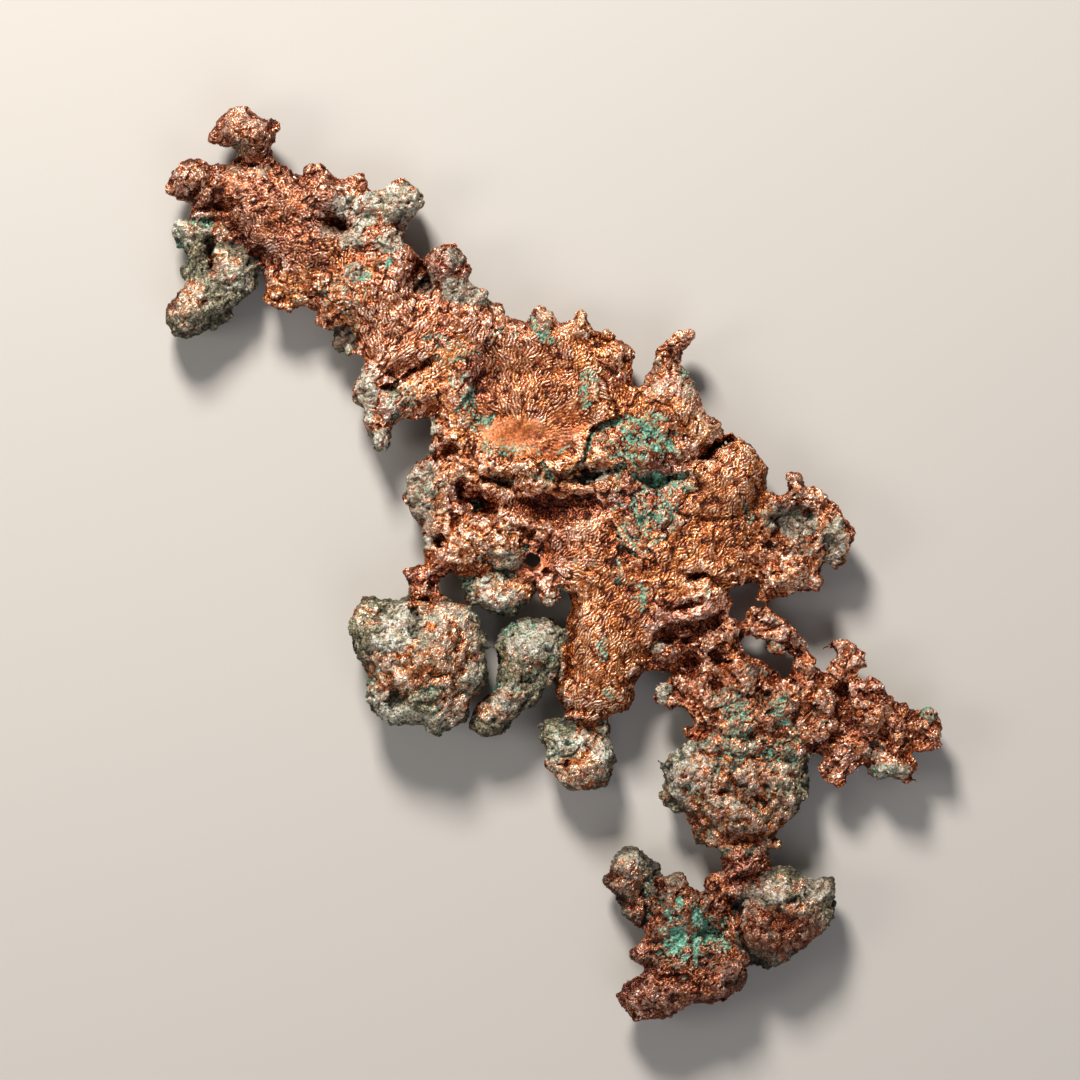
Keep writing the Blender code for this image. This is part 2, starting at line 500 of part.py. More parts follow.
def skin_points(piece):
    points = np.empty(len(piece.data.vertices) * 3)
    piece.data.vertices.foreach_get("co", points)
    return points.reshape(-1, 3) / MM


def set_skin_points(piece, points):
    piece.data.vertices.foreach_set("co", (points * MM).ravel())
    piece.data.update()


def skin_area(piece):
    return sum(face.area for face in piece.data.polygons) / MM**2


def finish(piece, material):
    """Smooths the skin, thins its triangles to FACE_AREA, and wears it flat where it rests."""
    smooth = piece.modifiers.new("Smooth", "SMOOTH")
    smooth.factor = 0.5
    smooth.iterations = SMOOTHING
    apply_modifiers(piece)
    thin = piece.modifiers.new("Thin", "DECIMATE")
    thin.ratio = skin_area(piece) / FACE_AREA / (2 * len(piece.data.polygons))
    thin.use_collapse_triangulate = True
    apply_modifiers(piece)
    points = skin_points(piece)
    points[:, 2] = np.maximum(points[:, 2], 0)
    set_skin_points(piece, points)
    piece.data.materials.append(material)
    piece.data.shade_smooth()


def copper_fork(name, outlines, material, group, drop=0.0):
    """One fork of the sheet. Its skins come from its neighbours' formulas, so they meet flush but for drop."""
    piece = dense_blank(name, outlines, group)
    points = skin_points(piece)
    plan = points[:, :2]
    share = np.clip(points[:, 2] / BLANK, -1, 1)
    round_off = rounding(plan_distance(plan, COPPER_EDGES), EDGE_ROUND, 0.8)
    flat = np.column_stack([plan, np.zeros(len(plan))])
    top = SHEET_MIDDLE + EDGE_HALF + (SHEET_RISE - EDGE_HALF) * round_off
    top += relief(plan, TOP_RELIEF) + growth(flat, COPPER_GROWTH, 0) - drop
    under = SHEET_MIDDLE - EDGE_HALF - (SHEET_DEPTH - EDGE_HALF) * round_off
    under -= relief(plan, UNDER_RELIEF) * round_off + growth(flat, COPPER_GROWTH, 40)
    top = np.maximum(top, np.maximum(under, 0) + THINNEST)
    points[:, 2] = under + (top - under) * (share + 1) / 2
    set_skin_points(piece, points)
    finish(piece, material)


def rock_lump(name, outline, lumps, sizes, material, group):
    """One rounded lump of rock. sizes are its middle height, its rise and depth from that, and its rounding."""
    middle, rise, depth, reach = sizes
    piece = dense_blank(name, [outline], group)
    points = skin_points(piece)
    plan = points[:, :2]
    share = np.clip(points[:, 2] / BLANK, -1, 1)
    round_off = rounding(plan_distance(plan, [outline + outline[:1]]), reach, 0.55)
    edge = ROCK_EDGE * rise
    top = middle + edge + (rise - edge) * round_off + relief(plan, lumps) * round_off
    under = middle - edge - (depth - edge) * round_off
    points[:, 2] = np.where(share > 0, middle + (top - middle) * share, middle + (middle - under) * share)
    points[:, 2] += growth(points, ROCK_GROWTH, len(name)) * np.abs(share)
    set_skin_points(piece, points)
    finish(piece, material)


def build_copper(group):
    copper = new_material("native_copper", COPPER_COLOUR, 0.42, 1.0)
    dark = new_material("dark_native_copper", COPPER_DARK_COLOUR, 0.5, 1.0)
    upper_limb = UPPER_LIMB_BACK + LIMB_TO_PLATE + CONTACT_CHIP + UPPER_LIMB_FRONT + CONTACT_UPPER_NODULE
    copper_fork("upper_limb", [upper_limb], copper, group)
    plate = (
        PLATE_TOP + PLATE_TO_KNOB + PLATE_LOWER_RIGHT + PLATE_TO_BRANCH + PLATE_TO_LEG + PLATE_UNDER
        + CONTACT_INNER + PLATE_STALK + CONTACT_BIG + PLATE_LEFT + LIMB_TO_PLATE[::-1]
    )
    copper_fork("main_plate", [plate, PLATE_HOLE], copper, group)
    leg = (
        PLATE_TO_LEG + LEG_LEFT + CONTACT_BEAN[::-1] + LEG_LOWER_LEFT[::-1] + CONTACT_FOOT[::-1]
        + LEG_RIGHT[::-1] + LEG_TO_BRANCH[::-1]
    )
    copper_fork("lower_leg", [leg], copper, group)
    copper_fork("right_knob", [PLATE_TO_KNOB[::-1] + KNOB_EDGE[::-1]], copper, group)
    branch = BRANCH_TOP + CONTACT_SHIELD_TOP + BRANCH_LEFT + LEG_TO_BRANCH[::-1] + PLATE_TO_BRANCH[-2::-1]
    copper_fork("lower_right_branch", [branch, BRANCH_HOLE], dark, group, BRANCH_DROP)
    fork = (
        CONTACT_SHIELD_FOOT + FORK_LEFT + CONTACT_BOTTOM_LEFT[::-1] + FORK_LOWER
        + CONTACT_BOTTOM_RIGHT[::-1] + FORK_RIGHT
    )
    copper_fork("bottom_fork", [fork], dark, group)


def build_rock(group):
    rock = new_material("ore_rock", ROCK_COLOUR, 0.85, 0.0)
    pale = new_material("pale_ore_rock", PALE_ROCK_COLOUR, 0.85, 0.0)
    lumps = [
        ("upper_left_nodule", CONTACT_UPPER_NODULE + UPPER_NODULE_REST, UPPER_NODULE_LUMPS,
         (6.5, 5.6, 7.2, 6.0), pale),
        ("stone_chip", CONTACT_CHIP + CHIP_REST, [], (6.5, 2.0, 2.0, 2.0), rock),
        ("inner_nodule", CONTACT_INNER + INNER_REST, INNER_NODULE_LUMPS, (6.0, 3.6, 5.4, 5.0), pale),
        ("big_nodule", CONTACT_BIG + BIG_REST, BIG_NODULE_LUMPS, (9.0, 8.6, 10.4, 12.0), pale),
        ("bean_nodule", CONTACT_BEAN + BEAN_REST, BEAN_NODULE_LUMPS, (7.5, 5.6, 7.9, 7.0), rock),
        ("foot_nodule", CONTACT_FOOT + FOOT_REST, FOOT_NODULE_LUMPS, (7.0, 5.4, 7.4, 7.0), pale),
        ("shield_nodule", CONTACT_SHIELD_TOP + SHIELD_LEFT + CONTACT_SHIELD_FOOT[::-1] + SHIELD_RIGHT,
         SHIELD_LUMPS, (7.0, 5.2, 7.3, 8.0), rock),
        ("bottom_left_nodule", CONTACT_BOTTOM_LEFT + BOTTOM_LEFT_REST, BOTTOM_LEFT_LUMPS,
         (6.0, 5.0, 6.3, 5.0), pale),
        ("bottom_right_nodule", CONTACT_BOTTOM_RIGHT + BOTTOM_RIGHT_REST, BOTTOM_RIGHT_LUMPS,
         (7.5, 6.2, 8.6, 9.0), pale),
    ]
    for name, outline, bumps, sizes, material in lumps:
        rock_lump(name, outline, bumps, sizes, material, group)


clear_scene()
nugget = new_collection("native_copper_nugget")
build_copper(nugget)
build_rock(nugget)
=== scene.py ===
"""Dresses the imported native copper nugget: a branching sheet of crinkled copper with lumps of its rock grown
into it, lying on a pale floor.

Lengths are millimetres unless a name says otherwise, X right, Y back and Z up, with the floor at Z = 0.
A table of ellipses gives x, y, half length, half width and turn in degrees, then what its comment says.
"""

import math
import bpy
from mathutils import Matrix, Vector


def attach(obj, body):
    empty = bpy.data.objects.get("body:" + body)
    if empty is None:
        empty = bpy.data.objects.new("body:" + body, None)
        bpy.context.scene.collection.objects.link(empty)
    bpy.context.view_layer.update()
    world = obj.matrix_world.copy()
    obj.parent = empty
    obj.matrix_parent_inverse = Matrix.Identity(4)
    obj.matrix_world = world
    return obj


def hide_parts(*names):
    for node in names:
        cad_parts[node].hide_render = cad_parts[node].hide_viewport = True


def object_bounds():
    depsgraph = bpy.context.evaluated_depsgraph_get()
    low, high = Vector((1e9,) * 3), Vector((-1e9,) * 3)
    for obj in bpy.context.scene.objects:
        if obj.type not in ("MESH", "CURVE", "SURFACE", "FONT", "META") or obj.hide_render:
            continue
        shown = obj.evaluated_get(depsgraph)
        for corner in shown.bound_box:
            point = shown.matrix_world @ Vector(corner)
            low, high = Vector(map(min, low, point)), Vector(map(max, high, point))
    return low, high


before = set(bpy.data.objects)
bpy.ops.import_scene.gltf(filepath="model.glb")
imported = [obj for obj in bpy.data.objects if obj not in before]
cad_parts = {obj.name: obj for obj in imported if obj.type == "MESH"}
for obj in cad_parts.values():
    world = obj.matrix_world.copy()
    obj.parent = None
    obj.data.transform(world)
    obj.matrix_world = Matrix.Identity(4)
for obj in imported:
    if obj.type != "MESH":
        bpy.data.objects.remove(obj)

from concurrent.futures import ThreadPoolExecutor

import bpy
import numpy as np

cad_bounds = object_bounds()
MM = 0.001

# ---------------------------------------------------------------------------------------------------------
# The growth: copper that filled cracks in rock and grew on as one branching sheet, with lumps of the rock
# still held in it. The frame's solids and the twigs of the edges are closed up into one skin, so that copper
# and rock run into each other.

COPPER_FORKS = ["upper_limb", "main_plate", "lower_leg", "right_knob", "lower_right_branch", "bottom_fork"]
ROCK_LUMPS = [
    "upper_left_nodule", "inner_nodule", "big_nodule", "foot_nodule", "bottom_left_nodule",
    "bottom_right_nodule", "stone_chip", "bean_nodule", "shield_nodule",
]
CLOSING = 0.34  # the skin swells and shrinks by this, which closes the gaps between the solids
DRAWN_IN = 0.08  # and then this much more, for the ridges that are laid on it
FORM_GRAIN = 0.5  # grain of the skin while it is formed

# Twigs and lumps that stand out of the edges: height of the middle, radius, run
TWIGS = [
    (9.5, 1.5, [(22, 40.6), (22, 42.6), (23.6, 44.6), (25.6, 46), (27.4, 45.8)]),  # finger
    (8, 1.1, [(39.6, -9.2), (42, -8.8), (44.4, -10.2), (47.2, -12.6), (49.8, -15.4)]),  # arch
    (8.5, 0.85, [(54, -16.6), (55.6, -15.6), (58.2, -15.2), (59.8, -16.2)]),  # hook leaf
    (8.5, 0.9, [(62.4, -23.8), (63.4, -22.8), (65.2, -24.4)]),  # spike before the tips
    (9, 1.1, [(76.6, -34.2), (76.6, -36)]),  # tip
    (8, 0.9, [(72.8, -36.4), (75.2, -36.4)]),  # tip
    (8, 1, [(69.6, -42.8), (72, -43.2)]),  # tip
    (9, 0.9, [(61.4, -17.4), (62, -19.8)]),  # edge
    (7.5, 0.9, [(20.2, -26.8), (21.6, -27.4), (23.6, -28.2)]),  # under the stub
    (8, 1, [(26.8, -33.4), (27.6, -34.2)]),  # spike
    (8, 1, [(21, -39.4), (21.6, -41)]),  # shield's left spike
    (7.5, 1.1, [(21.6, -46.2), (22.8, -47.8), (24.8, -49.2)]),  # shield's edge
    (7.5, 1, [(27.6, -51), (28.6, -53), (29.2, -55.2), (31.2, -56.2)]),  # below the shield
    (8, 0.8, [(34, -57.4), (34, -59.4)]),
    (8, 0.7, [(44.4, -55.4), (45.2, -56.6)]),  # spike
    (8, 0.9, [(49.8, -38.6), (51, -38.4)]),  # notch
    (8, 1, [(53.8, -39.8), (54.4, -42.2), (55.4, -43.4), (57.8, -43.4)]),  # branch's lower lobe
    (8, 0.9, [(59.6, -41.4), (60.4, -40.2)]),
    (6.5, 1.4, [(13.2, -66.6), (15.2, -69), (16.8, -71), (18, -72.6)]),  # bottom left nodule's lower edge
    (6.5, 1.3, [(38.6, -78.6), (40.6, -79.6), (43, -80.2)]),  # bottom right nodule's lower edge
    (7, 0.8, [(16, -90.6), (16.8, -91.4)]),  # fork's tip
    (7.5, 0.9, [(13.2, -86.6), (14, -84.6), (15.4, -83.6)]),
    (7.5, 0.9, [(31.6, -87.8), (34, -87)]),
    (7, 0.8, [(23.6, -89.6), (24.6, -89.2)]),
    (7, 1.2, [(-43.4, 46), (-43, 44.6)]),  # stone chip
    (8, 1.1, [(-47.4, 48.6), (-45.6, 47.8)]),  # limb's spike
    (8, 0.7, [(-41, 42.8), (-40.4, 42.4)]),
    (7.5, 1.1, [(-68.2, 47.2), (-66.2, 48.6), (-64.6, 49.8)]),  # nodule's lower edge
    (8, 0.9, [(-74.2, 59.4), (-74, 57.4)]),
    (9, 1.1, [(-77.4, 75.4), (-77, 74.4)]),  # far left lobe
    (9.5, 1.2, [(-68, 86.6), (-68, 84.8)]),  # top knob's left
    (9, 0.9, [(-56, 88.6), (-55.2, 87.4)]),
    (9.5, 1.2, [(-49, 79), (-46.6, 79.4)]),  # limb's back edge
    (9, 1, [(-57.8, 53.6), (-55.8, 52), (-52.8, 51.4)]),  # limb's front edge
    (9, 0.8, [(-40.8, 77.4), (-38.4, 77.6)]),
    (5, 1.7, [(-26.6, 57), (-27, 55)]),  # floor of the join
    (9, 1, [(-1.2, -7.2), (0.4, -6.2)]),  # lump under the edge
    (9, 0.8, [(55.4, 12.2), (57.4, 10), (58.8, 7.4), (59.6, 6.4)]),  # right knob's edge
    (9, 1, [(47.2, 17.4), (48.2, 17.4)]),  # right knob's top
    (9, 0.9, [(52.2, 15.8), (53.2, 15)]),
    (8.5, 0.9, [(41.8, 14), (43.6, 14.4)]),
    (8, 1, [(41.2, -6.2), (42.8, -6.6)]),
    (8, 0.7, [(56.4, 0), (57.6, 1)]),
    (8, 0.9, [(35, -7), (35.4, -8.4)]),
    (8, 0.9, [(18.4, -19.8), (19.2, -20.4)]),
    (9, 0.8, [(-21.4, 64), (-20.2, 64)]),
    (9.5, 0.8, [(-3.6, 51.2), (-2.6, 51.4)]),
    (9.5, 0.8, [(4.6, 50), (5.6, 50)]),
    (9.5, 0.8, [(10.4, 46), (11.6, 45.4)]),
    (10, 0.7, [(-2.6, -4.4), (-1.8, -6)]),
    (9.5, 0.7, [(-14.2, 55.2), (-13, 54.2)]),
    (9, 0.7, [(-30, 13.6), (-29.4, 12.4)]),
    (9.5, 0.9, [(-29.6, -1.2), (-29, -2.2)]),
]
TWIG_STEP = 0.5  # from one ball of a twig to the next, as a share of its radius
TWIG_WANDER = 0.5  # how far the balls wander up and down in all
TWIG_SIZES = (0.8, 0.4)  # the smallest ball as a share of the radius, and how much bigger the biggest is

# Places where the outline is drawn in or out: x, y, reach, shift in x, shift in y
NUDGES = [
    (-64.4, 82.6, 1.6, 0.8, 0.4), (-74.2, 73.2, 1.8, 0.8, -0.6), (-73.6, 70.2, 1.8, 0.6, -0.8),
    (-36.4, 76.2, 1.6, 0, -1.2), (-43.4, 48.6, 1.6, 0, -1.2), (-37.6, 42.2, 1.8, 1.2, 0),
    (-39.6, 37.8, 1.8, 0.8, 0), (-59, 62.2, 1.8, -0.4, 0.8), (-58.4, 58.6, 1.6, -0.6, 0),
    (-29.8, 27, 2.8, -1, 0.2), (-32, 24.2, 1.6, -0.6, 0.4), (-25, 25.8, 2, 0.8, 0),
    (-25.4, 23, 1.6, 0.6, 0), (-38.2, 31.4, 1.4, 0.8, 0), (-25.6, 8.2, 1.8, 0.8, 0),
    (-25.8, 4, 1.6, 1, 0), (-26, 0.6, 1.4, 0.6, -0.6), (37.4, -10, 1.8, -1.8, -0.2),
    (33.6, -4.6, 1.6, -0.6, 1), (16.6, 37.6, 1.6, 0, -1.4), (30.4, 30.6, 2, -0.6, -0.6),
    (33.6, 26.2, 1.4, -0.4, -0.6), (45.6, 15.8, 1.6, 0.8, -0.6), (53.6, -1.8, 1.4, -1, 0),
    (62.2, -24.6, 1.8, -0.4, -1.2), (17.8, -80.6, 2.2, 1.8, 0.2), (42.8, -57.4, 1.6, -1, 0),
    (44.6, -54.2, 1.6, -0.8, 0), (29.6, -64.2, 1.8, 0, -1.4), (37.6, -15.2, 1.6, -1, 0),
    (41.8, -16.6, 1.2, 1, -0.2), (47.4, -21.4, 1.4, -0.6, -0.6), (46.8, -20.6, 1.4, 0, -0.6),
    (21.8, -22, 1.6, 1, 0.4), (17.2, -25, 1.6, -0.6, 0), (2.4, -9, 2.4, 0.8, 0),
    (10.4, -34.6, 2, -0.6, 0), (6.8, -45.8, 2.4, 0, 0.6), (48.8, -78, 2.8, -0.6, 0.6),
    (57, -66, 2, -0.6, 0), (11.2, -62.2, 1.6, 0.8, 0), (22.8, -61.6, 1.6, 0, -0.8),
    (27.2, -63.4, 1.6, -0.4, -0.8), (39.6, -62.4, 1.4, -1, -0.8), (29.2, -87.4, 2, 0, 0.6),
    (71.6, -37, 1.4, -0.6, -0.6), (54.8, -21.4, 1.8, -0.8, -0.8), (52.8, -19.6, 1.4, -0.4, -0.8),
    (-16.8, -7, 2.4, -0.8, -0.6), (-20.4, -6.4, 2, 0, -1), (-30.8, -5.8, 3.2, 0, -0.4),
    (-14, 51.8, 1.8, 0, -0.6), (-27.8, 62.6, 1.6, 0, -0.6), (-18.6, 60.6, 1.6, -0.4, -0.2),
    (-30, 65, 1.6, -0.6, 0),
]

# A ball of twenty faces, of radius 1
GOLDEN = 1.618  # the golden ratio, which its corners are placed by
BALL_POINTS = np.array([
    (-1, 0, GOLDEN), (1, 0, GOLDEN), (-1, 0, -GOLDEN), (1, 0, -GOLDEN), (0, GOLDEN, 1), (0, GOLDEN, -1),
    (0, -GOLDEN, 1), (0, -GOLDEN, -1), (GOLDEN, 1, 0), (-GOLDEN, 1, 0), (GOLDEN, -1, 0), (-GOLDEN, -1, 0),
]) / 1.902
BALL_FACES = np.array([
    (1, 4, 0), (4, 9, 0), (4, 5, 9), (8, 5, 4), (1, 8, 4), (1, 10, 8), (10, 3, 8), (8, 3, 5), (3, 2, 5),
    (3, 7, 2), (3, 10, 7), (10, 6, 7), (6, 11, 7), (6, 0, 11), (6, 1, 0), (10, 1, 6), (11, 0, 9), (2, 11, 9),
    (5, 2, 9), (11, 2, 7),
])


def mesh_from(name, points, faces):
    """A mesh of those points, in millimetres, and triangles, with smooth shading."""
    mesh = bpy.data.meshes.new(name)
    mesh.vertices.add(len(points))
    mesh.vertices.foreach_set("co", (points * MM).astype(np.float32).ravel())
    mesh.loops.add(faces.size)
    mesh.loops.foreach_set("vertex_index", faces.astype(np.int32).ravel())
    mesh.polygons.add(len(faces))
    mesh.polygons.foreach_set("loop_start", np.arange(0, faces.size, 3, dtype=np.int32))
    mesh.update(calc_edges=True)
    mesh.shade_smooth()
    return mesh


def read_mesh(mesh):
    """A mesh's points, in millimetres, and its triangles."""
    mesh.calc_loop_triangles()
    points = np.empty(len(mesh.vertices) * 3, np.float32)
    mesh.vertices.foreach_get("co", points)
    faces = np.empty(len(mesh.loop_triangles) * 3, np.int32)
    mesh.loop_triangles.foreach_get("vertices", faces)
    return points.reshape(-1, 3).astype(float) / MM, faces.reshape(-1, 3)


def solid_arrays(nodes):
    """Points and triangles of frame nodes, as millimetres, with each node's loose triangles merged."""
    all_points, all_faces, count = [], [], 0
    for node in nodes:
        points, faces = read_mesh(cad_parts[node].data)
        kept, index = np.unique(np.round(points, 3), axis=0, return_inverse=True)
        all_points.append(kept)
        all_faces.append(index.ravel()[faces] + count)
        count += len(kept)
    return np.concatenate(all_points), np.concatenate(all_faces)


def through_modifiers(points, faces, steps, marked=None):
    """The skin after a stack of modifiers, each as (type, settings). Marked points are the group "marked"."""
    mesh = mesh_from("worked", points, faces)
    holder = bpy.data.objects.new("worked", mesh)
    bpy.context.scene.collection.objects.link(holder)
    if marked is not None:
        holder.vertex_groups.new(name="marked").add(np.flatnonzero(marked).tolist(), 1.0, "REPLACE")
    for kind, settings in steps:
        modifier = holder.modifiers.new(kind, kind)
        for key, value in settings.items():
            setattr(modifier, key, value)
    graph = bpy.context.evaluated_depsgraph_get()
    worked = bpy.data.meshes.new_from_object(holder.evaluated_get(graph))
    arrays = read_mesh(worked)
    bpy.data.objects.remove(holder, do_unlink=True)
    bpy.data.meshes.remove(mesh)
    bpy.data.meshes.remove(worked)
    return arrays


def swell(amount):
    """Moves every point out by the amount, or in where it is under 0."""
    return ("DISPLACE", {"strength": amount * MM, "mid_level": 0})


def even_skin(grain):
    """Lays one closed skin of even squares of that size round everything."""
    return ("REMESH", {"mode": "VOXEL", "voxel_size": grain * MM})


def smoothing(times):
    """Moves every point halfway to the middle of its neighbours, again and again."""
    return ("SMOOTH", {"factor": 0.5, "iterations": times})


def cell_numbers(cells, salt):
    """Three steady random numbers from 0 to 1 for each whole-number cell, hashed from its place and salt."""
    h = cells[..., 0] * 374761393 + cells[..., 1] * 668265263 + cells[..., 2] * 2147483647 + salt * 83492791
    h = ((h & 0xFFFFFFFF) ^ ((h & 0xFFFFFFFF) >> 15)) * 2246822519 & 0xFFFFFFFF
    h = (h ^ (h >> 13)) * 3266489917 & 0xFFFFFFFF
    h = h ^ (h >> 16)
    return np.stack([h & 1023, (h >> 10) & 1023, (h >> 20) & 1023], axis=-1) / 1023


def twig(height, radius, run):
    """A chain of balls along a run, TWIG_STEP radii apart, each a little higher or lower and a little bigger
    or smaller by its own random numbers."""
    corners = np.array(run, float)
    lengths = np.append(0, np.cumsum(np.linalg.norm(np.diff(corners, axis=0), axis=1)))
    places = np.linspace(0, lengths[-1], int(lengths[-1] / (TWIG_STEP * radius)) + 1)
    middles = np.stack([np.interp(places, lengths, corners[:, axis]) for axis in range(2)], axis=1)
    own = cell_numbers(np.round(np.column_stack([middles * 10, places * 10])).astype(np.int64), 2)
    middles = np.column_stack([middles, height + TWIG_WANDER * (own[:, 0] - 0.5)])
    sizes = radius * (TWIG_SIZES[0] + TWIG_SIZES[1] * own[:, 1])
    balls = middles[:, None] + sizes[:, None, None] * BALL_POINTS
    first = np.arange(len(places))[:, None, None] * len(BALL_POINTS)
    return balls.reshape(-1, 3), (BALL_FACES + first).reshape(-1, 3)


def nudged(points):
    """Moves points sideways by shift * exp(-(distance / reach)^2) around each place."""
    for x, y, reach, right, back in NUDGES:
        share = np.exp(-((points[:, :2] - (x, y)) ** 2).sum(axis=1) / reach**2)
        points[:, :2] += share[:, None] * (right, back)
    return points


grown = [solid_arrays(COPPER_FORKS + ROCK_LUMPS), *[twig(*each) for each in TWIGS]]
counts = np.cumsum([0] + [len(part[0]) for part in grown])
points = np.concatenate([part[0] for part in grown])
faces = np.concatenate([part[1] + count for part, count in zip(grown, counts)])
points, faces = through_modifiers(
    points, faces, [swell(CLOSING), even_skin(FORM_GRAIN), smoothing(4), swell(-CLOSING - DRAWN_IN)]
)
points = nudged(points)
low, high = np.array(cad_bounds[0]) / MM, np.array(cad_bounds[1]) / MM

# ---------------------------------------------------------------------------------------------------------
# Copper or rock: a place on the skin is part of the solid that it is nearest to in plan, and the border
# between the metal and the rock that it grew through is uneven.

FIELD_CELL = 0.8  # plan distances are kept for cells of this size
FIELD_MARGIN = 3  # round the object's box
FIELD_REACH = 6  # and are worked out this far from a solid
FIELD_FAR = 12.0  # they read this further away
BORDER_UNEVEN = [(1.3, 3.4, 11), (0.6, 1.2, 12)]  # how far the border strays, size of its bays, salt
BORDER_HALF = 0.35

field_start = low[:2] - FIELD_MARGIN
cell_lines = [np.arange(a, b + FIELD_MARGIN, FIELD_CELL) for a, b in zip(field_start, high)]
cells = np.stack(np.meshgrid(*cell_lines, indexing="ij"), axis=-1)
STRETCH = 40000  # points worked on at a time, a size that keeps them quick to reach


def side_by_side(work, points, *rest):
    """What work gives for all the points, run on stretches of them side by side. It changes only the wait."""
    calls = [
        [a[k:k + STRETCH] if np.shape(a)[:1] == (len(points),) else a for a in (points, *rest)]
        for k in range(0, len(points), STRETCH)
    ]
    with ThreadPoolExecutor(4) as pool:
        found = list(pool.map(lambda call: work(*call), calls))
    if isinstance(found[0], tuple):
        return tuple(np.concatenate(part) for part in zip(*found))
    return np.concatenate(found)


def step(value, low, high):
    """Smooth step: 0 below low, 1 above high, 3t^2 - 2t^3 between."""
    t = np.clip((value - low) / (high - low), 0, 1)
    return t * t * (3 - 2 * t)


def soft_noise(points, size, salt):
    """Smooth noise of about -1 to 1: random slopes at the corners of cells of that size, blended by
    6t^5 - 15t^4 + 10t^3, and half as much again."""
    if len(points) > STRETCH:
        return side_by_side(soft_noise, points, size, salt)
    place = points / size
    cell = np.floor(place).astype(np.int64)
    inside = place - cell
    fade = inside**3 * (inside * (inside * 6 - 15) + 10)
    total = np.zeros(len(points))
    for corner in np.ndindex(2, 2, 2):
        slope = cell_numbers(cell + corner, salt) * 2 - 1
        share = np.prod(np.where(corner, fade, 1 - fade), axis=1)
        total += share * np.einsum("ij,ij->i", slope, inside - corner)
    return total * 1.5


def rough(points, layers):
    """The sum of layers of soft noise, each as (height, size, salt)."""
    return sum(height * soft_noise(points, size, salt) for height, size, salt in layers)


def bent(points, amount, size, salt):
    """The points, each moved along X, Y and Z by the amount times a soft noise of its own."""
    return points + amount * np.stack([soft_noise(points, size, salt + axis) for axis in range(3)], axis=1)


def node_field(node):
    """Plan distance of every cell from a solid: the least to its corners and the middles of its faces."""
    corners, triangles = solid_arrays([node])
    samples = np.concatenate([corners, corners[triangles].mean(axis=1)])[:, :2]
    field = np.full(cells.shape[:2], FIELD_FAR)
    lowest, highest = samples.min(axis=0) - FIELD_REACH, samples.max(axis=0) + FIELD_REACH
    near = ((cells > lowest) & (cells < highest)).all(axis=2)
    place = cells[near]
    squared = (place**2).sum(1)[:, None] + (samples**2).sum(1) - 2 * place @ samples.T
    field[near] = np.sqrt(np.maximum(squared.min(axis=1), 0))
    return field


def read_field(field, plan):
    """Bilinear value of a field at plan points."""
    place = (plan - field_start) / FIELD_CELL
    i, j = np.clip(np.floor(place).astype(int), 0, np.array(field.shape[:2]) - 2).T
    u, v = np.clip(place - np.stack([i, j], axis=1), 0, 1).T
    near_edge = field[i, j] * (1 - v) + field[i, j + 1] * v
    return near_edge * (1 - u) + (field[i + 1, j] * (1 - v) + field[i + 1, j + 1] * v) * u


def rockiness(points):
    """From 0 on copper to 1 on rock: smooth step of how much nearer the rock is, plus the border's noise."""
    border = read_field(rock_field, points[:, :2]) + rough(points, BORDER_UNEVEN)
    return step(border, -BORDER_HALF, BORDER_HALF)


fields = {node: node_field(node) for node in COPPER_FORKS + ROCK_LUMPS}
copper_field = np.min([fields[node] for node in COPPER_FORKS], axis=0)
rock_field = copper_field - np.min([fields[node] for node in ROCK_LUMPS], axis=0)

# ---------------------------------------------------------------------------------------------------------
# Ledges, slots and small lumps: the sheet grew in steps, so one layer ends in a lip over the next, with slots
# and pits where it grew round rock that is gone. They move the skin's points up and down, and a little out.

# Seams that the growth fills, and the height that they are filled to
FILLS = [
    (36.2, -36.6, 10.4, 3, 0, 11.4),  # shield to branch
    (46.2, -37.4, 5.6, 2.8, -8, 11.2), (27.2, -36.6, 4, 2.4, 0, 10.4),
    (36, -74, 2.8, 8, 8, 11.4),  # fork to its right rock
    (37.2, -65.4, 4.4, 3.2, -30, 11.6),
    (19.4, -66, 2.4, 4.4, 0, 10.4),  # fork to its left rock
    (37.6, -57.4, 6, 3.2, 0, 11),  # neck to the shield
    (-69.8, 69.8, 4.4, 1.6, 0, 10.6),  # limb to its nodule
    (-10.8, 0.4, 5.2, 1.4, 0, 10.2),  # plate to the inner lump
    (6.2, -30.2, 4.4, 1.8, 0, 11.4),  # leg to the foot
    (-27.2, -5.4, 3.2, 2, 0, 12),  # stalk into the big lump
    (1.8, -19, 1, 7.2, 0, 11.2),  # bean to the leg
    (-14, -7, 1.6, 2, 0, 9),
    (-12.4, -22.2, 1.2, 8, 15, 7.5),  # between big lump and bean
]
FILL_DROP = 3  # how far the filling lies lower at the ellipse's edge than in its middle
FILL_EDGE = 1.3  # where it ends, with 1 on the ellipse
FILL_UNEVEN = [(0.4, 2.2, 3)]

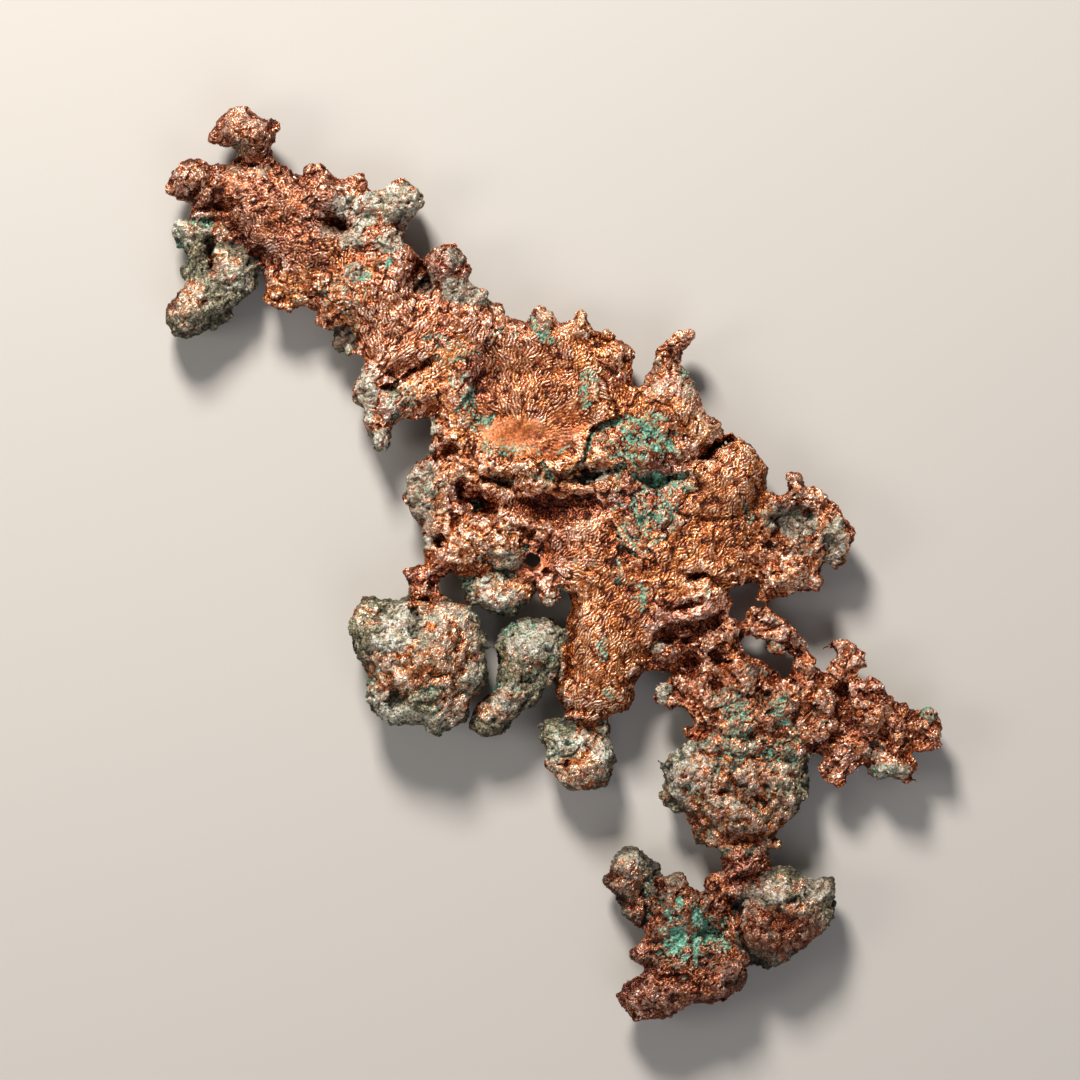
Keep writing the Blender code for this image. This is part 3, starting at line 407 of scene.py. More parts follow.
# Ledges: the sheet stands high on the right of each run and drops on its left. Each as (drop, reach, lip,
# overhang, run)
LEDGES = [
    # the fan's front knuckle
    (3.2, 1.5, 0.5, 0.4, [
        (14.4, 28.8), (12, 29.8), (9.2, 28.8), (7, 27), (6.2, 24.2), (4.8, 21.4), (2.8, 19),
        (0.4, 18.8), (-1.6, 20.2), (-3.6, 21.4)
    ]),
    # under the fan's front lip
    (1.6, 1, 0.4, 0.3, [
        (-4.8, 16.2), (-7.2, 15.6), (-10.2, 16.6), (-13.4, 17.8), (-16.4, 19.4), (-19.2, 21),
        (-21.6, 21.2), (-23.6, 22)
    ]),
    # roof of the main cavity
    (1.6, 6.5, 0.6, 0.5, [
        (9.6, 11), (9.2, 12.6), (8, 14.4), (4, 14.2), (0.6, 13.4), (-2.2, 14.8), (-5.2, 14.2),
        (-7, 14.6)
    ]),
    # under the round block
    (2.8, 1.5, 0.6, 0.4, [
        (27.8, 19), (25.6, 18.6), (23.6, 18.6), (20.8, 17.6), (18.2, 17.8), (15.6, 19)
    ]),
    # under the right shoulder
    (3.6, 1.7, 0.4, 0.4, [
        (36.2, 26.6), (33.8, 25.6), (31.6, 24), (30, 22.4), (28.2, 21.4)
    ]),
    # the plate's edge over the branch
    (1.6, 2.4, 0.5, 0.3, [
        (33.6, -9), (30.4, -9.8), (27.2, -10.4), (23.6, -11.2), (20.6, -13)
    ]),
    # dark wedge above the spur
    (2.8, 1.8, 0.5, 0.4, [
        (-23.6, 43), (-25.2, 41.4), (-27.4, 39.8), (-30, 38), (-32.6, 36.2), (-34.8, 35.4)
    ]),
    # crease at the fan's left
    (1.3, 1.2, 0.3, 0.2, [
        (-13.8, 40), (-15.4, 37.4), (-16.8, 35.4), (-19, 32.2), (-21.4, 30)
    ]),
    # neck of the top knob
    (1.8, 1.2, 0.4, 0.3, [
        (-55, 81), (-57.2, 80.4), (-59.8, 80.2), (-62, 81), (-64.4, 81.4)
    ]),
    # over the limb's hollow
    (1.5, 1.2, 0.3, 0.2, [
        (-39.6, 66.6), (-41.2, 68.2), (-44, 69.4), (-47.2, 69.8), (-50.8, 69.2)
    ]),
    # over the lower right hollow
    (2.2, 1.6, 0.4, 0.3, [
        (33.2, -1.8), (30.4, -1), (28, -1), (26.4, -1.8)
    ]),
    # crease across the right lobe
    (1.2, 1, 0.3, 0.2, [
        (38.2, 10.2), (34.8, 9.4), (30.8, 9.2), (27.6, 10.4)
    ]),
    # dark arch on the branch
    (2, 1.3, 0.4, 0.3, [
        (26.8, -23), (26, -20.6), (26, -18), (27.2, -16.2), (28.8, -15.4)
    ]),
    # fold across the branch
    (1.4, 1.2, 0.3, 0.2, [
        (44.2, -25), (41.2, -25.8), (38, -25.2), (34.8, -23.8), (31.6, -23.4)
    ]),
    # fold before the tips
    (1.6, 1.2, 0.3, 0.2, [
        (62.8, -31.4), (61.2, -28.6), (59.6, -26.2), (58.8, -23.8)
    ]),
    # crease above the shield
    (1.5, 1.2, 0.3, 0.2, [
        (50.8, -36), (48.2, -35.2), (44.8, -35.4), (41.2, -34.6)
    ]),
    # edge of the fork's green hollow
    (1.6, 1.4, 0.4, 0.3, [
        (30, -68), (31.6, -69.8), (33.6, -72.2), (35.6, -75)
    ]),
    # fold across the fork's foot
    (1.4, 1.2, 0.3, 0.2, [
        (29.2, -84), (26.8, -82.2), (23.6, -81.4), (20.2, -82)
    ]),
    # fold by the limb's green spot
    (1.2, 1.1, 0.3, 0.2, [
        (-31.8, 63), (-34.8, 64.2), (-37.6, 64.4), (-40.4, 63.4)
    ]),
    # right bank of the little fan
    (1.3, 1.4, 0.4, 0.2, [
        (17.2, 1), (14.8, 3.4), (12.8, 6.6), (11.6, 9.8)
    ]),
]
LEDGE_MARGIN = 14  # how far from its run a ledge is worked out
LEDGE_UNEVEN = [(0.4, 1.7, 5), (0.3, 4.0, 6)]
LEDGE_FACE = (-0.12, 0.3)  # across the run, from the top of the drop to its foot
LEDGE_ENDS = 0.14  # share of the run over which it rises from nothing, at each end
LIP_REACH = 1.3  # how far back the lip is raised
FOOT_OVERHANG = 0.6  # how far the foot draws back under the lip, as a share of the overhang

# Slots and pits with steep walls, in the copper and in the rock, and their depth
PITS = [
    (42.2, -27.4, 1.6, 2.8, 20, 1.2),  # between the branch's lumps
    (58.4, -25, 1.4, 2.4, 0, 1.3), (33.2, -19, 2.4, 1.2, -20, 1.2), (31.6, -29.4, 1.6, 1.2, 0, 1),
    (66.2, -33.4, 1.2, 2, 0, 1.1),
    (8, 18, 4.8, 1.6, 12, 3.4),  # eye-shaped slot
    (-10.2, 16.6, 3.2, 1, -14, 2.2),  # slot under the lip
    (-20.8, 22.2, 2.6, 1.2, 15, 2.4),  # pocket in the left edge
    (-19.4, 15.2, 1.2, 2.4, -10, 2.2),  # slot left of the cavity
    (-18, 12.6, 1, 1.6, 30, 1.6),
    (-15.2, 12.4, 1.8, 2, 20, 2.6),  # hollow left of the cavity
    (-13.2, 10.6, 1.8, 1.4, -20, 2), (-16, 10.4, 1.2, 1, 0, 1.4), (-9.8, 11.4, 1.8, 0.8, -10, 1.2),
    (-19.6, 9, 1.2, 1.8, 0, 1.8),  # small pit
    (-23.6, 4.6, 1.2, 1.6, 0, 2),  # pit at the left edge
    (-24.8, -3.6, 0.8, 1.4, 20, 1.5),  # pit in the stalk
    (-1.6, -1.6, 0.8, 1, 0, 2),  # small hole by the gap
    (-4.6, 6.4, 2.4, 1.8, 0, 1.6),  # deep red part of the cavity
    (32.4, 23.8, 4, 1.4, 32, 2.6),  # slot under the shoulder
    (28.8, -2.2, 2.2, 1.2, 0, 1.8),  # hollow in the lower right
    (26, -8.4, 2.8, 0.8, 10, 1.6),  # slit near the branch
    (22.8, -15, 1.8, 1, 20, 1.2),  # hollow by the lobe
    (27.2, -19.8, 1.2, 2.8, 10, 2),  # dark hollow on the branch
    (34.6, -18, 1.4, 1, 0, 1.2),  # pit on the branch
    (41.2, -25, 1.8, 1, -20, 1.2),  # pit on the branch
    (52.2, -25, 1.6, 1, 30, 1.4),  # pit on the branch
    (56.8, -34, 1.8, 1.4, 0, 1.6),  # pit before the tips
    (64, -36, 1.4, 1.2, 0, 1.4),  # pit on the tips
    (-43.2, 68.2, 3, 1.4, -25, 1.6),  # hollow in the limb
    (-66.4, 71.4, 2.4, 1, -10, 1.5),  # slit beside the knob
    (-71.6, 75, 1.4, 0.8, 20, 1.2),  # slit in the far left lobe
    (-59.8, 61.8, 1.2, 2.8, -35, 1.6),  # crevice to the nodule
    (-27.2, 59, 1.4, 4, 5, 2),  # low shelf beside the join
    (-36.4, 73.8, 1.2, 1.6, 0, 1.2),  # notch in the limb's back
    (18.2, 9, 1.6, 0.8, 40, 0.9),  # pit on the plate
    (13.2, -4, 1.4, 0.8, -30, 0.8),  # pit on the plate
    (47.8, 9, 4.8, 3.8, 10, 1.3),  # bowl of the right knob
    (55, 4, 1.8, 2, 0, 2),  # dark notch of the right knob
    (44.8, 3.4, 4.4, 0.8, -12, 1.5),  # furrow under the knob's bowl
    (17.2, -25, 1, 2, 0, 1.2),  # hollow in the leg's side
    (31.6, -74, 2.8, 2.4, 0, 1.6),  # green hollow of the fork
    (20.6, -75, 1.2, 1.4, 0, 1.2),  # pit on the fork
    (36.2, -68, 1.2, 2.4, 20, 1.6),  # crevice to the rock
    (18.8, -68, 1, 2.4, 0, 1.4),  # crevice to the left rock
]
ROCK_PITS = [
    (-28.2, -9.4, 1.6, 1.4, 0, 1.6), (-31.6, -26.6, 2.4, 2, 0, 2.2), (-33.2, -25, 1.6, 1.2, 0, 1),
    (-27.4, -12.6, 0.6, 3.2, 0, 1), (-36.4, -17.4, 1, 1, 0, 0.8), (-22.8, -15, 1, 0.8, 0, 0.8),
    (-18.4, -20.6, 1, 1, 0, 0.8), (-24.8, -28, 1, 0.8, 0, 0.7), (-68.8, 62.2, 1.4, 3.6, 8, 2.4),
    (-71.6, 65, 0.8, 1.6, 0, 1), (-64.8, 56, 1, 0.8, 0, 0.8), (-69.8, 53, 1, 0.8, 0, 0.6),
    (-9.8, -5, 1, 0.8, 0, 0.6), (-13.4, -5, 1, 0.8, 0, 0.8), (-6.8, -7, 0.8, 0.6, 0, 0.5),
    (-4.8, -17, 1, 0.8, 0, 0.6), (-7.8, -25, 1, 1, 0, 0.7), (-0.8, -19, 0.8, 0.8, 0, 0.5),
    (-14.8, -31.4, 2, 0.6, 0, 1), (2.4, -39.4, 1.4, 1.2, 0, 1.2), (6.8, -37.4, 0.8, 1.6, 0, 0.9),
    (9.2, -34, 0.8, 0.8, 0, 0.7), (4.2, -44, 1.2, 0.8, 0, 0.6), (41.2, -47, 1.6, 1, -35, 1.4),
    (33.6, -45, 1.2, 0.8, 0, 1), (29.2, -43, 1, 0.8, 0, 0.8), (38.2, -42, 1.2, 0.8, 30, 0.8),
    (36.2, -51, 1, 1.2, 0, 0.9), (26.2, -42, 0.8, 1, 0, 0.8), (44.2, -41, 1, 1, 0, 0.8),
    (15.6, -60.6, 0.8, 0.8, 0, 0.6), (17.2, -65.4, 1.2, 1.6, 0, 1.2), (44.2, -61.4, 1.4, 0.8, 0, 1.4),
    (40.2, -66.6, 1, 0.8, 0, 0.7), (47.2, -67, 1.2, 0.8, 0, 0.8), (43.2, -72, 1.2, 1, 0, 0.9),
    (49.2, -73, 1, 0.8, 0, 0.7), (53.2, -65, 0.8, 1.2, 0, 0.8),
]

# Gentle hollows and their depth, and lifts, whose depth is under 0
HOLLOWS = [
    (-3.6, 36.2, 12.8, 10.8, 0, -1.9),  # floor of the big fan, a shallow shell
    (1.6, 11.8, 8.4, 2, 0, -0.8),  # floor of the main cavity
    (1.2, 9.2, 8.4, 1.8, 0, 0.9),  # and its front
    (-14.6, 12.4, 4.8, 3, -15, 3),  # hollow left of the cavity
    (-19.6, 14.6, 1.8, 2.8, 0, 1.8),
    (-6.8, 6.4, 4, 1.8, 0, 1.2),  # red hollow under the cavity
    (-6.8, 25.6, 10.8, 4.4, 4, -1.3),  # the fan rises to its lip
    (-1.8, 33, 11.6, 6, 0, -0.9),  # lower half of the fan
]
PIT_WALL = (0.45, 1.15)  # from the foot of the wall to its top, with 1 on the ellipse
PIT_UNEVEN = [(1, 1.7, 9), (0.5, 0.8, 10)]
PIT_RAGGED, HOLLOW_RAGGED = 0.7, 0.05  # how much of that unevenness a pit and a hollow have

# Small lumps on the skin, and their rise
KNOBS = [
    (31.6, -15, 2.8, 2, 0, 1.3),  # lumps of the branch
    (37.6, -21.4, 3.2, 1.8, -20, 1.3), (29.2, -25, 2.8, 2.4, 0, 1), (36.2, -32.2, 3.6, 2.4, 0, 1),
    (47.2, -25, 3.6, 2, -30, 1.4), (54.4, -27.4, 2.8, 2.4, 0, 1.2), (62.8, -29.8, 3.2, 2, 30, 1.4),
    (70.2, -35.4, 2.4, 2, 0, 1),
    (25.6, -40.6, 3.2, 3.6, 0, 1),  # lumps of the shield
    (32.2, -47.4, 4, 3.2, 0, 0.9), (45.2, -46, 2.8, 2.8, 0, 1), (42.2, -51.4, 4, 2.4, -30, 0.9),
    (38.2, -41.4, 2.8, 2, 0, 0.7),
    (21.2, -67, 2.8, 3.2, 0, 1),  # lumps of the fork
    (18.2, -84, 4, 2.8, -20, 1.1), (29.2, -85, 4.8, 2.8, 0, 1), (36.2, -79.4, 2.8, 3.2, 0, 0.9),
    (27.2, -64, 2.8, 2.4, 0, 0.7),
    (18.6, 21.8, 3.2, 2.4, 0, 1.2),  # round block
    (3.2, 23, 3.6, 2.8, 45, 0.7),  # the fan's front knuckle
    (12, 25, 2, 1.4, 20, 0.7),  # knuckle right of the ledge
    (24.2, 22, 1.8, 1.4, 0, 0.7),  # knuckle
    (-1.8, 49.4, 1.4, 1.2, 0, 0.9), (5.6, 48.6, 1.4, 1.2, 0, 0.9), (-9.6, 51.4, 1.2, 1, 0, 0.7),
    (-4.8, 48.6, 1, 0.8, 0, 0.6), (13.6, 43.6, 1.6, 1, 0, 0.7), (8.8, 46.4, 1, 1, 0, 0.6),
    (-23.2, 62.6, 1.6, 1.4, 0, 1), (-20.8, 60.6, 1.4, 1.6, 0, 0.9), (-18.4, 60.6, 1, 1.2, 0, 0.7),
    (-16.8, 56.2, 1.4, 1, 0, 0.7), (-14, 53.8, 1.2, 1, 0, 0.7), (-24.4, 57.4, 1.2, 1.6, 0, 0.8),
    (-28.8, -1.6, 1.4, 1.2, 0, 0.9),  # ball at the left edge
    (-24.6, -6.4, 1, 0.8, 0, 0.6), (-22.4, -5.8, 0.8, 0.6, 0, 0.5), (-23.6, 27, 1.2, 1, 0, 0.7),
    (-24.6, 23, 1.2, 1, 0, 0.7), (-28.4, 18.2, 1.4, 1.2, 0, 0.7), (-28.2, 13.6, 1.2, 1.6, 0, 0.6),
    (-26, 7, 1.2, 1, 0, 0.7), (-25.8, 2.8, 1, 1, 0, 0.6), (-39.2, 35.4, 1.2, 1.6, 0, 0.7),
    (-37.6, 32.2, 1.2, 1.2, 0, 0.6), (-35.2, 24.8, 1.6, 1.4, 0, 1), (-36.4, 28, 1.2, 1.2, 0, 0.6),
    (-24.8, 29.2, 1.6, 0.8, 0, 0.7),
    (-1.2, -6.6, 1.4, 1.2, 0, 0.8),  # small lump under the edge
    (26.6, 46.2, 1.4, 0.8, -10, 0.5), (23.6, 44.4, 1.4, 1, -45, 0.5),
    (22.4, -17.4, 2.2, 1.8, 0, 1.2),  # round lobe by the leg
    (27.2, -13.4, 2.4, 1, 10, 0.6),
    (21.6, -25.8, 1.4, 1.4, 0, 0.8),  # stub of stone
    (43.2, -11, 1.8, 1.2, -25, 0.8), (47.2, -13.8, 1.6, 1, -25, 0.7), (49.8, -16.2, 1.2, 1, 0, 0.7),
    (56.8, -16.2, 1.8, 0.6, 0, 0.4), (59.6, -16.6, 0.8, 1, 0, 0.4), (51.6, -20.6, 1.6, 1.2, 0, 0.8),
    (56.8, -22.2, 1.6, 1.4, 0, 0.7), (60.8, -19.4, 1.2, 1, 0, 0.6), (64.2, -24, 0.8, 1, 0, 0.5),
    (66.4, -27.8, 1.6, 1, -30, 0.7), (70.2, -31.4, 1.6, 1.4, 0, 0.7), (75.4, -29.4, 1.6, 1.4, 0, 0.9),
    (76.4, -34, 1.4, 1.6, 0, 0.8), (69.2, -40.6, 2, 1.4, 0, 0.8), (65.2, -41.4, 1.2, 1.2, 0, 0.6),
    (56.8, -42.2, 1.4, 0.8, 20, 0.5), (52.8, -27, 1.8, 1.2, 20, 0.7), (46.2, -30, 2, 1.4, 0, 0.7),
    (39.2, -32, 1.8, 1.2, 0, 0.6), (33.2, -30, 1.8, 1.2, 0, 0.7), (30.2, -27, 1.2, 1.2, 0, 0.6),
    (37.6, -19.8, 1.6, 1, -20, 0.7), (33.6, -15, 1.8, 1.4, 0, 0.7), (36.2, -10.6, 1.6, 1.2, 0, 0.8),
    (28.2, -32, 1.2, 1.2, 0, 0.6), (49.2, 15, 1.2, 1, 0, 0.6), (53.6, 13.4, 1.4, 1, -30, 0.7),
    (57.4, 9, 1.2, 1.4, 0, 0.8), (58.2, 3, 1, 1.4, 0, 0.7), (52.8, -3.4, 1.6, 1.2, 0, 0.8),
    (48.2, -5, 1.8, 1, 0, 0.7), (43.6, -5, 1.6, 1.2, 0, 0.8), (42.2, 10.6, 1.2, 1.2, 0, 0.6),
    (45.4, 13, 1.2, 0.8, 0, 0.5), (27.2, -63.4, 1.6, 1.2, 0, 0.7), (23.6, -63, 1.6, 1.2, 0, 0.8),
    (20.2, -66, 1.2, 1.6, 0, 0.7), (27.2, -68, 1.6, 1.4, 0, 0.7), (22.2, -73, 1.8, 1.4, 0, 0.7),
    (17.6, -78.6, 1.6, 1.2, 0, 0.7), (17.2, -87, 2.2, 1.8, 0, 0.9), (16.4, -90, 1.6, 1.4, 0, 0.6),
    (22.2, -88, 1.8, 1.4, 0, 0.7), (27.2, -86, 1.6, 1.4, 0, 0.6), (32.2, -85, 1.8, 1.4, 0, 0.7),
    (36.2, -81.4, 1.6, 1.6, 0, 0.8), (33.6, -77, 1.4, 1.2, 0, 0.5), (38.2, -60.6, 1.6, 1.2, 0, 0.7),
    (41.6, -58.2, 1.4, 1, 0, 0.6), (34.2, -61, 1.4, 1, 0, 0.6), (-62.8, 89.4, 1.8, 1.6, 0, 0.6),
    (-58.4, 87.4, 1.6, 1.6, 0, 0.7), (-65.8, 86.6, 1.6, 1.6, 0, 0.6), (-61.8, 85, 1.6, 1.2, 0, 0.6),
    (-58.4, 79.4, 1.4, 1.2, 0, 0.7), (-63.6, 79, 1.4, 1.2, 0, 0.6), (-74, 79, 1.8, 1.4, 0, 0.8),
    (-75.6, 75.4, 1.2, 1.4, 0, 0.7), (-70.2, 79.8, 1.4, 1.2, 0, 0.6), (-52.8, 77, 1.6, 1.2, 0, 0.6),
    (-46.4, 78, 1.8, 1.2, 0, 0.7), (-41.8, 75.8, 1.6, 1, 0, 0.6), (-38.4, 76.6, 1.4, 1, 0, 0.6),
    (-32.8, 74.6, 1.6, 1.2, 0, 0.8), (-28.8, 74.2, 1.6, 1.4, 0, 0.9), (-28, 71.4, 1.2, 1.2, 0, 0.7),
    (-32.2, 70.6, 1.6, 1.4, 0, 0.7), (-55.8, 53.8, 1.6, 1.2, 0, 0.7), (-50.8, 53, 1.6, 1.2, 0, 0.6),
    (-46.4, 47.8, 1.4, 0.8, 0, 0.5), (-56.8, 58, 1.2, 1.4, 0, 0.6),
]
KNOB_UNEVEN = [(0.2, 1.2, 15)]

# Gaps that the growth left between two arms, and the height of the arms
GAPS = [
    (37.4, -10.4, 1.6, 1.4, 0, 8),  # arch's left end
    (41.2, -7.8, 1.4, 1.2, 0, 8.5),  # arch to knob
    (-4.2, 0.6, 1.4, 1.6, 0, 6),  # hole below the cavity
    (44, -19.8, 2.8, 1.2, -25, 8),  # under the arch
    (54.4, -18.2, 1.6, 1.2, 30, 8),  # inside the hook
]
GAP_WALL = (0.7, 1.1)

FACING_UP = (0.0, 0.45)  # from an upright wall to skin that counts as the upper side, by its normal's Z


def skin_normals(points, faces):
    """Outward unit normal at each point: the sum of its triangles' area vectors, made unit length."""
    corner = points[faces]
    area = np.cross(corner[:, 1] - corner[:, 0], corner[:, 2] - corner[:, 0])
    total = np.stack(
        [sum(np.bincount(faces[:, k], area[:, axis], len(points)) for k in range(3)) for axis in range(3)],
        axis=1,
    )
    return total / np.maximum(np.linalg.norm(total, axis=1, keepdims=True), 1e-12)


def ellipse_reach(points, x, y, length, width, turn):
    """How far out each point is in plan on an ellipse's scale: 1 on the ellipse."""
    angle = math.radians(turn)
    across = points[:, :2] - (x, y)
    u = (across[:, 0] * math.cos(angle) + across[:, 1] * math.sin(angle)) / length
    v = (across[:, 1] * math.cos(angle) - across[:, 0] * math.sin(angle)) / width
    return np.sqrt(u * u + v * v)


def near_run(points, run, margin):
    """Whether each point is inside the run's box in plan, made bigger by the margin."""
    corners = np.array(run)
    plan = points[:, :2]
    return ((plan > corners.min(axis=0) - margin) & (plan < corners.max(axis=0) + margin)).all(axis=1)


def plan_distance(plan, run):
    """Signed distance of plan points from a run of points, positive on the run's left.

    Also the place along the run, from 0 to 1, and the unit direction across it to the left.
    """
    corners = np.array(run, float)
    nearest = np.full(len(plan), np.inf)
    signed, place, leftward = np.zeros(len(plan)), np.zeros(len(plan)), np.zeros((len(plan), 2))
    done = 0.0
    for start, end in zip(corners[:-1], corners[1:]):
        along = end - start
        length = np.linalg.norm(along)
        share = np.clip((plan - start) @ along / length**2, 0, 1)
        away = plan - start - share[:, None] * along
        distance = np.linalg.norm(away, axis=1)
        side = np.sign(along[0] * (plan[:, 1] - start[1]) - along[1] * (plan[:, 0] - start[0]))
        closer = distance < nearest
        nearest[closer] = distance[closer]
        signed[closer] = (side * distance)[closer]
        place[closer] = done + share[closer] * length
        leftward[closer] = (side[:, None] * away / np.maximum(distance, 1e-9)[:, None])[closer]
        done += length
    return signed, place / done, leftward


def filled(points, exposed):
    """Raises points to at least level - FILL_DROP * r^2, where r is 1 on the edge of each filled ellipse."""
    for *ellipse, level in FILLS:
        r = ellipse_reach(points, *ellipse)
        target = level - FILL_DROP * r**2 + rough(points, FILL_UNEVEN)
        raised = (r < FILL_EDGE) & exposed & (points[:, 2] < target)
        points[raised, 2] = target[raised]
    return points


def ledged(points, upward):
    """Moves points for the ledges: down by drop * exp(-s / reach) at a distance s beyond the run, up at its
    lip, and out over the drop."""
    for drop, reach, lip, overhang, run in LEDGES:
        near = near_run(points, run, LEDGE_MARGIN)
        some = points[near]
        signed, place, leftward = plan_distance(some[:, :2], run)
        s = signed + rough(some, LEDGE_UNEVEN)
        ends = step(place, 0.0, LEDGE_ENDS) * (1 - step(place, 1 - LEDGE_ENDS, 1.0)) * upward[near]
        beyond = step(s, *LEDGE_FACE)
        foot = beyond * np.exp(-np.clip(s, 0, None) / reach)
        brow = (1 - beyond) * np.exp(-np.clip(-s, 0, None) / LIP_REACH)
        some[:, 2] += ends * (lip * brow - drop * foot)
        some[:, :2] += (overhang * ends * (brow - FOOT_OVERHANG * foot))[:, None] * leftward
        points[near] = some
    return points


def pitted(points, upward, pits, ragged_share):
    """Moves points down by depth * (1 - smooth step of r), where r is 1 on the pit's uneven edge."""
    ragged_edge = ragged_share * rough(points, PIT_UNEVEN)
    for *ellipse, depth in pits:
        r = ellipse_reach(points, *ellipse) + ragged_edge
        points[:, 2] -= depth * (1 - step(r, *PIT_WALL)) * upward
    return points


def knobbed(points, upward):
    """Moves points up by a cap: rise * sqrt(1 - r^2) inside each small ellipse."""
    for *ellipse, rise in KNOBS:
        r = ellipse_reach(points, *ellipse) + rough(points, KNOB_UNEVEN)
        points[:, 2] += rise * np.sqrt(np.clip(1 - r * r, 0, 1)) * upward
    return points


def parted(points):
    """Presses the skin flat at the arms' own height inside each gap, from the gap's edge to its middle, so
    that the even skin laid next has nothing there."""
    for *ellipse, level in GAPS:
        kept = step(ellipse_reach(points, *ellipse), *GAP_WALL)
        points[:, 2] = level + (points[:, 2] - level) * kept
    return points


normals = skin_normals(points, faces)
upward = step(normals[:, 2], *FACING_UP)
points = filled(points, normals[:, 2] > -0.1)
points = ledged(points, upward)
points = pitted(points, upward, HOLLOWS, HOLLOW_RAGGED)
points = pitted(points, upward, PITS, PIT_RAGGED)
points = pitted(points, upward, ROCK_PITS, PIT_RAGGED)
points = knobbed(points, upward)
points = parted(points)

# ---------------------------------------------------------------------------------------------------------
# Folds and boulders: the sheet lies in soft folds, ragged and knuckled along its edges and smooth in its
# hearts, and the rock is in boulders and cauliflower knobs. Both are laid on the formed skin, which then gets
# its finished grain.

# Where the sheet is ragged and knuckled, and where it is calm, and how much so
RAGGED = [
    (-61.8, 83, 9, 10, 0, 0.25),  # top knob
    (-72.8, 76, 6, 5.6, 0, 0.3),  # far left lobe
    (-62.8, 67, 14, 8, -35, 0.12),  # the limb's left half
    (-50.8, 55, 10, 4.8, -10, 0.25),  # the limb's front edge
    (-31.8, 72, 9, 6, 0, 1),  # pale end of the limb
    (-20.4, 58, 8, 6.8, 0, 1),  # cluster above the plate
    (-35.8, 31, 7.6, 10, 0, 1),  # spur
    (-24.8, 15, 8, 16, 0, 1),  # left edge of the plate
    (-16.8, 19, 12, 4.8, -15, 0.6),  # left of the lip
    (-12.8, 5, 12, 6, 0, 0.8),  # left of the little fan
    (-0.8, 48.6, 22, 2.8, -8, 0.7),  # back edge of the plate
    (23.2, 37, 6, 6, 0, 0.5),  # shoulder
    (19.2, 17, 10, 12, 20, 0.6),  # green middle of the plate
    (49.2, 5, 12, 13.2, 0, 0.9),  # right knob
    (41.2, -25, 24, 15, -15, 1),  # branch
    (69.2, -33, 12, 12, 0, 1),  # tips
    (27.2, -75, 16, 19, 0, 1),  # fork
    (1.2, -6, 6, 2.8, 0, 0.8),  # under the edge
]
CALM = [
    (-1.8, 35, 16, 13.2, -30, 1),  # big fan
    (9.2, -17, 6.8, 16, 0, 0.7),  # leg
    (36.2, 13, 6.4, 12, 0, 0.6),  # right lobe
    (-31.8, 48, 10, 7.6, -40, 0.6),  # neck
    (4.2, 3, 6.8, 6, 0, 0.9),  # little fan
    (2.4, 23, 4.8, 4.4, 0, 1),  # knuckle
    (20.2, 33, 10, 5.2, -30, 0.4),  # shoulder
    (27.2, 1, 8, 6, 0, 0.5),
    (-53.8, 69, 17, 8.4, -35, 0.6),  # limb
    (-61.8, 85, 6, 5.6, 0, 0.5),  # top knob
    (-0.8, 11.4, 9, 3.2, 0, 0.8),  # cavity floor
]

# Smooth hearts with no folds and no ridges, and how smooth they are
HEARTS = [
    (-8.6, 26.2, 6.8, 2.8, 8, 0.95),  # heart of the big fan
    (-2.8, 25, 6, 2.4, 25, 0.5),
    (-2.6, 0.4, 1.8, 1.2, 40, 0.8),  # heart of the little fan
    (2.2, 25, 5.2, 1.6, 40, 0.5),  # smooth knuckle
    (1.2, 29.4, 8, 2, 38, 0.45),
]
HEART_KEPT = 0.92  # share of the relief that a full heart takes away

# Grown lumps, as (size, height): folds, knuckles and wrinkles of the sheet, then boulders and cauliflower
# knobs of the rock
FOLD = (3.6, 0.34)
KNUCKLE = (2.0, 0.7)
WRINKLE = (2.2, 0.34)
BOULDER = (5.5, 0.9)
CAULIFLOWER = (2.5, 1.0)
RAGGED_NOISE = [(0.35, 1.4, 37), (1.2, 4.2, 39)]
ROCK_NOISE = [(0.5, 1.6, 47)]
EDGE_NOISE = [(0.5, 1.1, 38)]  # on upright walls
RAGGED_WALL = 0.8  # how ragged an upright wall is, if it doesn't face down
WALL_FACING = (-0.6, -0.1)
LUMP_MEAN = 0.62  # height of a lump's cap that is taken as level
SKIN_GRAIN = 0.187
UNDERSIDE_KEPT = 0.22  # share of its triangles that the underside keeps
UNDERSIDE = -0.35  # the normal's Z below which skin is the underside


def cover(points, ellipses, edge, size, salt):
    """0 to 1 cover by ellipses with a broken edge: the most of step(1 + edge * noise - r) * strength."""
    broken = edge * soft_noise(points, size, salt)
    most = np.zeros(len(points))
    for *ellipse, strength in ellipses:
        most = np.maximum(most, step(1 + broken - ellipse_reach(points, *ellipse), -0.15, 0.25) * strength)
    return most


def pebbles(points, size, salt):
    """Distance to the nearest scattered point, in cells, and that point's own random number."""
    if len(points) > STRETCH:
        return side_by_side(pebbles, points, size, salt)
    place = points / size
    cell = np.floor(place).astype(np.int64)
    nearest = np.full(len(points), np.inf)
    tag = np.zeros(len(points))
    for corner in np.ndindex(3, 3, 3):
        around = cell + (np.array(corner) - 1)
        spot = cell_numbers(around, salt)
        away = np.linalg.norm(around + spot - place, axis=1)
        closer = away < nearest
        nearest[closer] = away[closer]
        tag[closer] = spot[closer, 0]
    return nearest, tag


def lump_caps(points, size, bend, salt):
    """Rounded lumps with sharp valleys: 1 - d^2 for the distance d to scattered, bent points, and each
    lump's own number."""
    near, tag = pebbles(bent(points, bend, size * 1.6, salt), size, salt + 3)
    return 1 - near**2, tag


def raggedness(points):
    """0 to 1: how ragged the sheet is in plan."""
    return cover(points, RAGGED, 0.35, 6.0, 21)


def calmness(points):
    """0 to 1: how calm the sheet is in plan."""
    return cover(points, CALM, 0.3, 5.0, 29)


